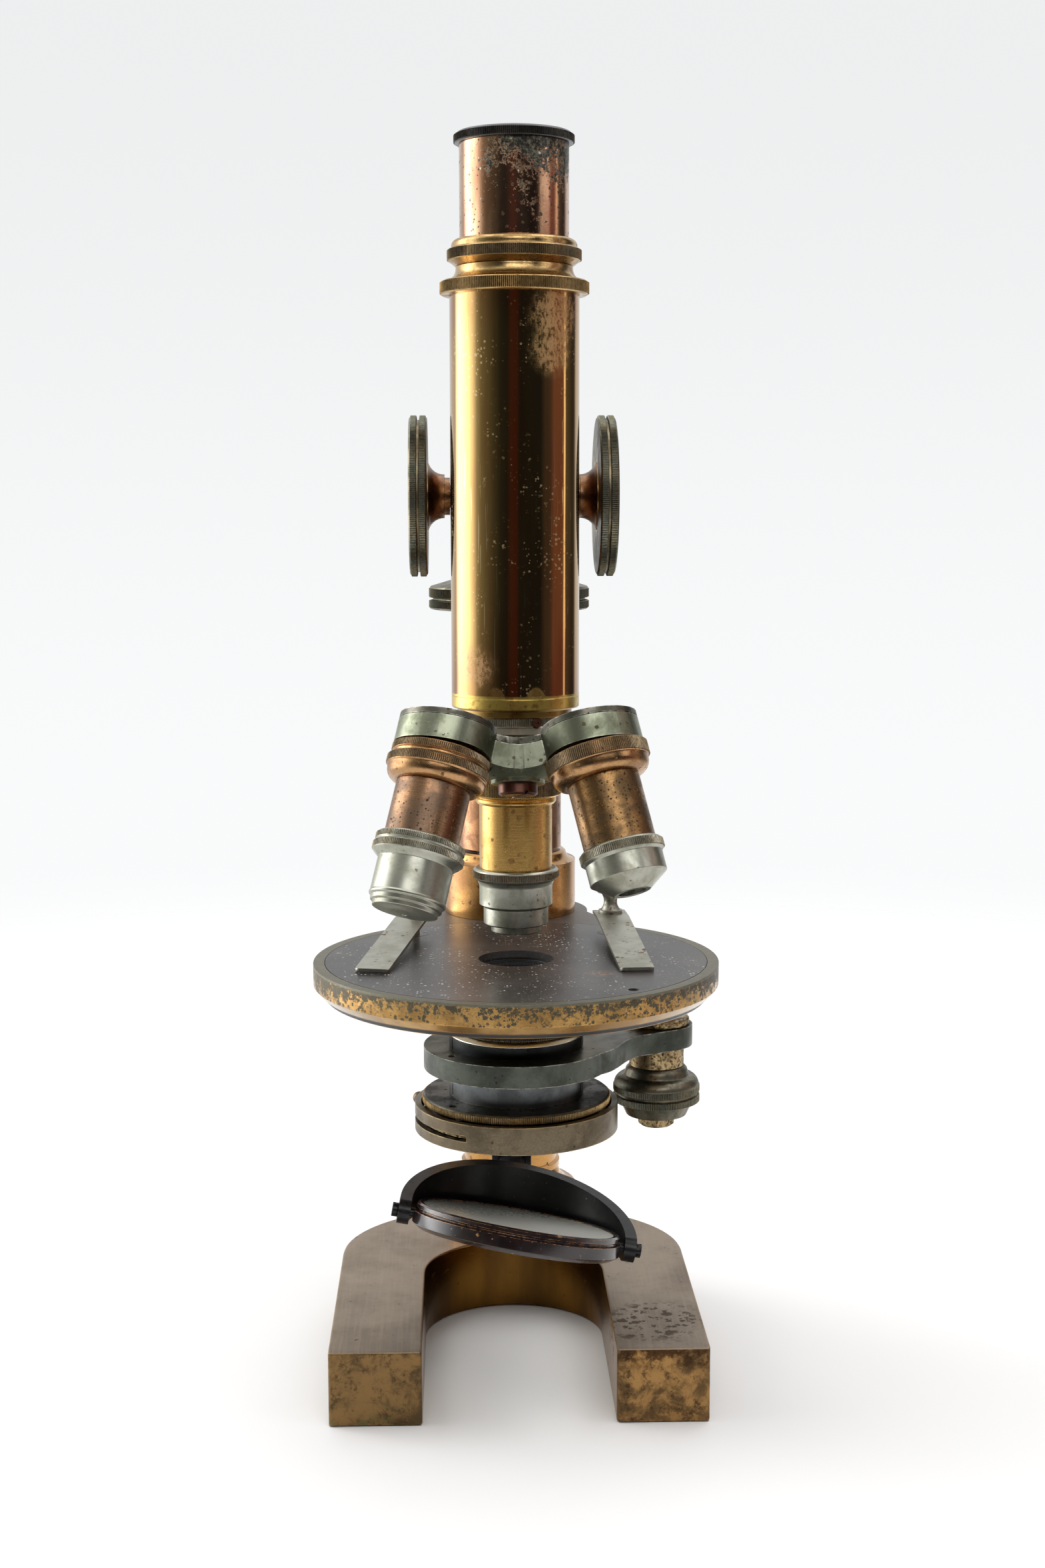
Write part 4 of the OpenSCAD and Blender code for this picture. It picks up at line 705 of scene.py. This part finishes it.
def make_materials():
    made = {
        "tube_lacquer": tube_lacquer(),
        "draw_tube_copper": draw_tube_copper(),
        "stage_lacquer": stage_lacquer(),
        "vulcanite": vulcanite(),
        "foot_bronze": foot_bronze(),
        "lipped_black": lipped_black(),
        "dusty_mirror": dusty_mirror(),
        "lens_glass": lens_glass(),
        "pillar_gold": patinated("pillar_gold", rgb(196, 146, 82), rgb(156, 112, 64), rgb(92, 64, 38),
                                 patch=(14, 0.42, 0.64), rough=(0.16, 0.32), speck=(2.0, 0.3), coat=0.3,
                                 fine=0.28),
        "limb_copper": patinated("limb_copper", rgb(166, 118, 80), rgb(138, 98, 66), rgb(84, 60, 44),
                                 patch=(7, 0.44, 0.62), rough=(0.2, 0.4), speck=(1.6, 0.3), coat=0.2),
        "collar_brass": patinated("collar_brass", rgb(200, 168, 114), rgb(164, 132, 86), rgb(84, 66, 42),
                                  patch=(6, 0.46, 0.64), rough=(0.18, 0.34), speck=(1.8, 0.24), grain=0.3),
        "knob_bronze": knob_bronze(),
        "mount_gold": patinated("mount_gold", rgb(210, 170, 100), rgb(186, 144, 80), rgb(104, 82, 58),
                                patch=(5, 0.46, 0.66), rough=(0.25, 0.34), speck=(2.0, 0.4), grain=0.3, fine=0.2,
                                turned=lathe(0)),
        "bronze_barrel": patinated("bronze_barrel", rgb(166, 126, 80), rgb(108, 86, 60), rgb(52, 44, 34),
                                   patch=(8, 0.38, 0.60), rough=(0.22, 0.38), speck=(0.55, 0.45), grain=0.5,
                                   turned=lathe(2)),
        "copper_barrel": patinated("copper_barrel", rgb(166, 126, 92), rgb(118, 96, 78), rgb(60, 50, 42),
                                   patch=(9, 0.38, 0.62), rough=(0.24, 0.38), speck=(0.7, 0.35), grain=0.35,
                                   turned=lathe(1)),
        "mount_copper": patinated("mount_copper", rgb(186, 144, 100), rgb(150, 114, 78), rgb(76, 60, 44),
                                  patch=(6, 0.44, 0.64), rough=(0.2, 0.36), speck=(1.8, 0.26), grain=0.2),
        "turret_nickel": pitted_nickel("turret_nickel", rgb(144, 148, 128), rgb(108, 113, 92), rgb(92, 78, 56), 9),
        "cover_nickel": pitted_nickel("cover_nickel", rgb(108, 106, 96), rgb(80, 80, 70), rgb(84, 64, 46), 8),
        "nose_nickel": pitted_nickel("nose_nickel", rgb(174, 174, 162), rgb(148, 148, 132), rgb(112, 102, 78), 8,
                                     pit=0.2),
        "mount_nickel": pitted_nickel("mount_nickel", rgb(214, 208, 194), rgb(182, 176, 160), rgb(122, 104, 80),
                                      5),
        "arm_steel": pitted_nickel("arm_steel", rgb(86, 90, 82), rgb(66, 69, 63), rgb(54, 49, 41), 12, pit=0.2),
        # sleeve_steel carries painted shade, nearly black, on the sleeve above the condenser arm
        "sleeve_steel": pitted_nickel("sleeve_steel", rgb(100, 103, 104), rgb(86, 88, 89), rgb(60, 56, 50), 9,
                                      pit=0.2, painted_shade_above=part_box("condenser_arm")[1].z / MM - 2),
        "drum_bronze": patinated("drum_bronze", rgb(118, 106, 86), rgb(96, 86, 70), rgb(60, 52, 42),
                                 patch=(12, 0.42, 0.62), rough=(0.32, 0.44), speck=(1.8, 0.2),
                                 edge=rgb(186, 162, 112), grain=0.3),
        "flange_grey": patinated("flange_grey", rgb(92, 88, 78), rgb(70, 67, 58), rgb(42, 39, 33),
                                 patch=(7, 0.42, 0.6), rough=(0.34, 0.5), speck=(1.4, 0.3)),
        "carriage_bronze": patinated("carriage_bronze", rgb(184, 160, 118), rgb(140, 120, 88), rgb(66, 56, 42),
                                     patch=(3, 0.44, 0.6), rough=(0.3, 0.5), speck=(0.6, 0.8),
                                     fine=0.55),
        "clip_steel": rusty_steel("clip_steel", rgb(176, 175, 162), rgb(156, 155, 142), rgb(112, 80, 56)),
        "plain_steel": rusty_steel("plain_steel", rgb(150, 150, 150), rgb(112, 112, 112), rgb(78, 60, 48)),
        "bush_dark": rusty_steel("bush_dark", rgb(92, 88, 82), rgb(66, 64, 60), rgb(60, 48, 40)),
        "screw_dark": rusty_steel("screw_dark", rgb(112, 78, 66), rgb(80, 56, 48), rgb(48, 36, 30)),
        "rail_black": black_lacquer("rail_black", rgb(150, 140, 120), 0.4, (12, 12, 12), 0.24),
        "fork_black": black_lacquer("fork_black", rgb(120, 112, 96), 0.12, (14, 14, 15), 0.32, gloss=0.12),
        "case_black": black_lacquer("case_black", rgb(196, 142, 92), 0.9, (26, 18, 18), 0.16),
        "cap_black": black_lacquer("cap_black", rgb(110, 104, 90), 0.3, (18, 18, 18), 0.3),
        "milled_dark": milled("milled_dark", rgb(122, 124, 112), rgb(52, 53, 48), rgb(132, 124, 100)),
        "milled_gold": milled("milled_gold", rgb(206, 174, 122), rgb(76, 60, 40), rgb(164, 138, 94)),
        "milled_bronze": milled("milled_bronze", rgb(150, 130, 102), rgb(48, 40, 30), rgb(122, 108, 86)),
        "milled_nickel": milled("milled_nickel", rgb(178, 172, 154), rgb(66, 60, 48), rgb(146, 136, 112)),
        "milled_black": milled("milled_black", rgb(70, 69, 66), rgb(12, 12, 12), rgb(92, 88, 80)),
    }
    return made


# Which node of the frame has which material
LOOKS = {
    "tube_lacquer": ["body_tube"],
    "draw_tube_copper": ["draw_tube"],
    "stage_lacquer": ["stage_body"],
    "vulcanite": ["stage_plate"],
    "foot_bronze": ["foot"],
    "dusty_mirror": ["mirror_glasses"],
    "lens_glass": ["eyepiece_lenses", "objective_lenses", "condenser_lenses"],
    "pillar_gold": ["pillar", "column_socket"],
    "limb_copper": ["limb", "slide_bar"],
    "collar_brass": ["draw_collar", "collar_ring", "eyepiece_barrel", "rack"],
    "bush_dark": ["clip_bushes"],
    "knob_bronze": ["fine_knob", "coarse_knob_left", "coarse_knob_right", "lift_knob"],
    "mount_gold": ["medium_mount", "medium_barrel"],
    "bronze_barrel": ["low_barrel"],
    "copper_barrel": ["high_barrel"],
    "mount_copper": ["low_mount", "high_mount"],
    "turret_nickel": ["turret"],
    "cover_nickel": ["dust_cover"],
    "nose_nickel": ["medium_nose", "high_nose", "low_nose"],
    "mount_nickel": ["nosepiece_mount"],
    "arm_steel": ["condenser_arm"],
    "sleeve_steel": ["split_sleeve"],
    "drum_bronze": ["iris_case", "iris_lever"],
    "flange_grey": ["sleeve_flange"],
    "carriage_bronze": ["condenser_carriage", "condenser_post", "lift_screw"],
    "clip_steel": ["clip_blade_left", "clip_blade_right", "clip_post_left", "clip_post_right"],
    "plain_steel": ["pillar_bolt", "stage_screws", "prism_column", "limb_spring", "fine_screw", "pinion",
                    "iris_leaves"],
    "screw_dark": ["turret_screw"],
    "rail_black": ["mirror_rail"],
    "fork_black": ["mirror_fork", "fork_screws"],
    "case_black": ["mirror_case"],
    "cap_black": ["eyepiece_cap"],
    "lipped_black": ["condenser_mount"],
}


def paint(materials):
    for look, names in LOOKS.items():
        for name in names:
            slots = NODES[name].data.materials
            slots.clear()
            slots.append(materials[look])


# ---- pieces ----

def finish_piece(name, build, matrix, body, material, smooth=40):
    mesh = bpy.data.meshes.new(name)
    bmesh.ops.recalc_face_normals(build, faces=build.faces)
    build.to_mesh(mesh)
    build.free()
    mesh.transform(matrix)
    mesh.materials.append(material)
    for polygon in mesh.polygons:
        polygon.use_smooth = smooth > 0
    if smooth > 0:
        mesh.set_sharp_from_angle(angle=math.radians(smooth))
    piece = bpy.data.objects.new(name, mesh)
    bpy.context.scene.collection.objects.link(piece)
    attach(piece, body)
    return piece


def milled_ring(name, matrix, radius, low, high, body, material):
    """Band of straight teeth round a turned part. Lengths in mm along the matrix's Z."""
    count = round(2 * math.pi * radius / TOOTH_PITCH)
    chamfer = 0.12
    sunk = 0.04  # valleys lie this far inside the radius
    rows = [(radius - 0.5, low, 0), (radius - 0.06, low, 0), (radius, low + chamfer, 1),
            (radius, high - chamfer, 1), (radius - 0.06, high, 0), (radius - 0.5, high, 0)]
    build = bmesh.new()
    ridge = build.verts.layers.float.new("ridge")
    columns = []
    for i in range(2 * count):
        angle = math.pi * i / count
        tall = i % 2
        column = []
        for r, z, toothed in rows:
            reach = (r + toothed * (tall * TOOTH_DEPTH - sunk)) * MM
            vert = build.verts.new((reach * math.cos(angle), reach * math.sin(angle), z * MM))
            vert[ridge] = tall
            column.append(vert)
        columns.append(column)
    for i, column in enumerate(columns):
        after = columns[(i + 1) % len(columns)]
        for k in range(len(rows)):
            m = (k + 1) % len(rows)
            build.faces.new((column[k], after[k], after[m], column[m]))
    return finish_piece(name, build, matrix, body, material, smooth=0)


def make_milling(materials):
    across = Matrix.Translation((0, PINION.y, PINION.z))
    pinion_frame = {s: across @ Matrix.Rotation(math.radians(90 * s), 4, "Y") for s in (-1, 1)}
    knob_low = 21.4  # inner face of a coarse knob's rim, from the middle
    fine_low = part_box("fine_knob")[0].z / MM
    lift_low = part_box("lift_knob")[0].z / MM
    flange = [v.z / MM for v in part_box("sleeve_flange")]
    cap_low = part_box("draw_tube")[1].z / MM
    # name, frame, radius, low, high, body, look; the lengths in mm
    bands = [
        ("fine_milling_lower", upright(PILLAR), 21.6, fine_low + 0.5, fine_low + 2.5, "fine_knob", "milled_dark"),
        ("fine_milling_upper", upright(PILLAR), 21.6, fine_low + 3.3, fine_low + 5.8, "fine_knob", "milled_dark"),
        ("collar_milling", upright(AXIS), 17.6, 270.8, 273.5, "tube", "milled_gold"),
        ("ring_milling", upright(AXIS), 15.8, 278.5, 281.0, "tube", "milled_bronze"),
        ("mount_milling", upright(AXIS), 13.3, 168.8, 170.7, "tube", "milled_nickel"),
        ("cap_milling", upright(AXIS), 14.1, cap_low + 0.2, cap_low + 2.0, "eyepiece", "milled_black"),
        ("flange_milling", upright(AXIS), 23.2, flange[0] + 0.2, flange[1] - 0.35, "condenser_arm", "milled_gold"),
        ("condenser_milling", upright(AXIS), 15.2, 92.6, 95.2, "condenser_arm", "milled_black"),
        ("lift_milling_lower", upright(POST), 11.0, lift_low + 3.6, lift_low + 5.4, "lift_knob", "milled_dark"),
        ("lift_milling_upper", upright(POST), 11.0, lift_low + 6.3, lift_low + 8.0, "lift_knob", "milled_dark"),
        ("medium_milling", station(0), 10.95, -5.4, -0.4, "turret", "milled_bronze"),
        ("medium_nose_milling", station(0), 10.45, -26.0, -24.2, "turret", "milled_bronze"),
        ("high_milling_upper", station(1), 11.3, -1.9, -0.3, "turret", "milled_bronze"),
        ("high_milling_lower", station(1), 11.85, -5.1, -3.2, "turret", "milled_bronze"),
        ("high_nose_milling_upper", station(1), 10.2, -23.0, -21.7, "turret", "milled_nickel"),
        ("high_nose_milling_lower", station(1), 10.45, -25.4, -23.8, "turret", "milled_nickel"),
        ("low_milling", station(2), 11.9, -3.5, -0.3, "turret", "milled_bronze"),
        ("low_nose_milling", station(2), 9.65, -25.4, -23.4, "turret", "milled_nickel"),
    ]
    for side, word in ((-1, "left"), (1, "right")):
        for part, (low, high) in (("inner", (0.3, 1.9)), ("outer", (2.6, 4.2))):
            bands.append((f"coarse_milling_{word}_{part}", pinion_frame[side], 20.0, knob_low + low,
                          knob_low + high, "pinion", "milled_dark"))
    for name, matrix, radius, low, high, body, look in bands:
        milled_ring(name, matrix, radius, low, high, body, materials[look])


def make_mount_screw(materials):
    """Small slotted screw that clamps the nosepiece on its mount."""
    build = bmesh.new()
    # radius and height in mm, up the rim, over the crown and down into the socket
    profile = [(0, 0), (1.35, 0), (1.35, 0.7), (1.05, 1.0), (0.35, 1.02), (0.35, 0.7), (0, 0.7)]
    count = 24
    rings = []
    for r, z in profile:
        rings.append([build.verts.new((r * MM * math.cos(2 * math.pi * i / count),
                                       r * MM * math.sin(2 * math.pi * i / count), z * MM))
                      for i in range(count)] if r else [build.verts.new((0, 0, z * MM))])
    for a, b in zip(rings, rings[1:]):
        for i in range(count):
            j = (i + 1) % count
            face = [a[i % len(a)], a[j % len(a)], b[j % len(b)], b[i % len(b)]]
            build.faces.new(list(dict.fromkeys(face)))
    where = (upright(AXIS, 169.7 * MM) @ Matrix.Rotation(math.radians(-69), 4, "Z")
             @ Matrix.Translation((12.8 * MM, 0, 0)) @ Matrix.Rotation(math.radians(90), 4, "Y"))
    finish_piece("mount_screw", build, where, "tube", materials["screw_dark"])


def soften_edges():
    """A fine bevel on the edges of every turned or cast part, so that they catch the light."""
    widths = {"foot": 0.7, "limb": 0.4, "condenser_arm": 0.35, "turret": 0.3, "dust_cover": 0.3}
    for name, obj in NODES.items():
        if name in ("limb_spring", "rack", "pinion"):
            continue
        weld = obj.modifiers.new("weld", "WELD")
        weld.merge_threshold = 0.002 * MM
        bevel = obj.modifiers.new("bevel", "BEVEL")
        bevel.width = widths.get(name, 0.12) * MM
        bevel.segments = 2
        bevel.limit_method = "ANGLE"
        bevel.angle_limit = math.radians(32)
        normal = obj.modifiers.new("normal", "WEIGHTED_NORMAL")
        normal.keep_sharp = False


bpy.context.scene.view_settings.view_transform = "Standard"
make_camera()
make_floor()
make_world()
make_lights()
LOOK = make_materials()
paint(LOOK)
make_milling(LOOK)
make_mount_screw(LOOK)
soften_edges()
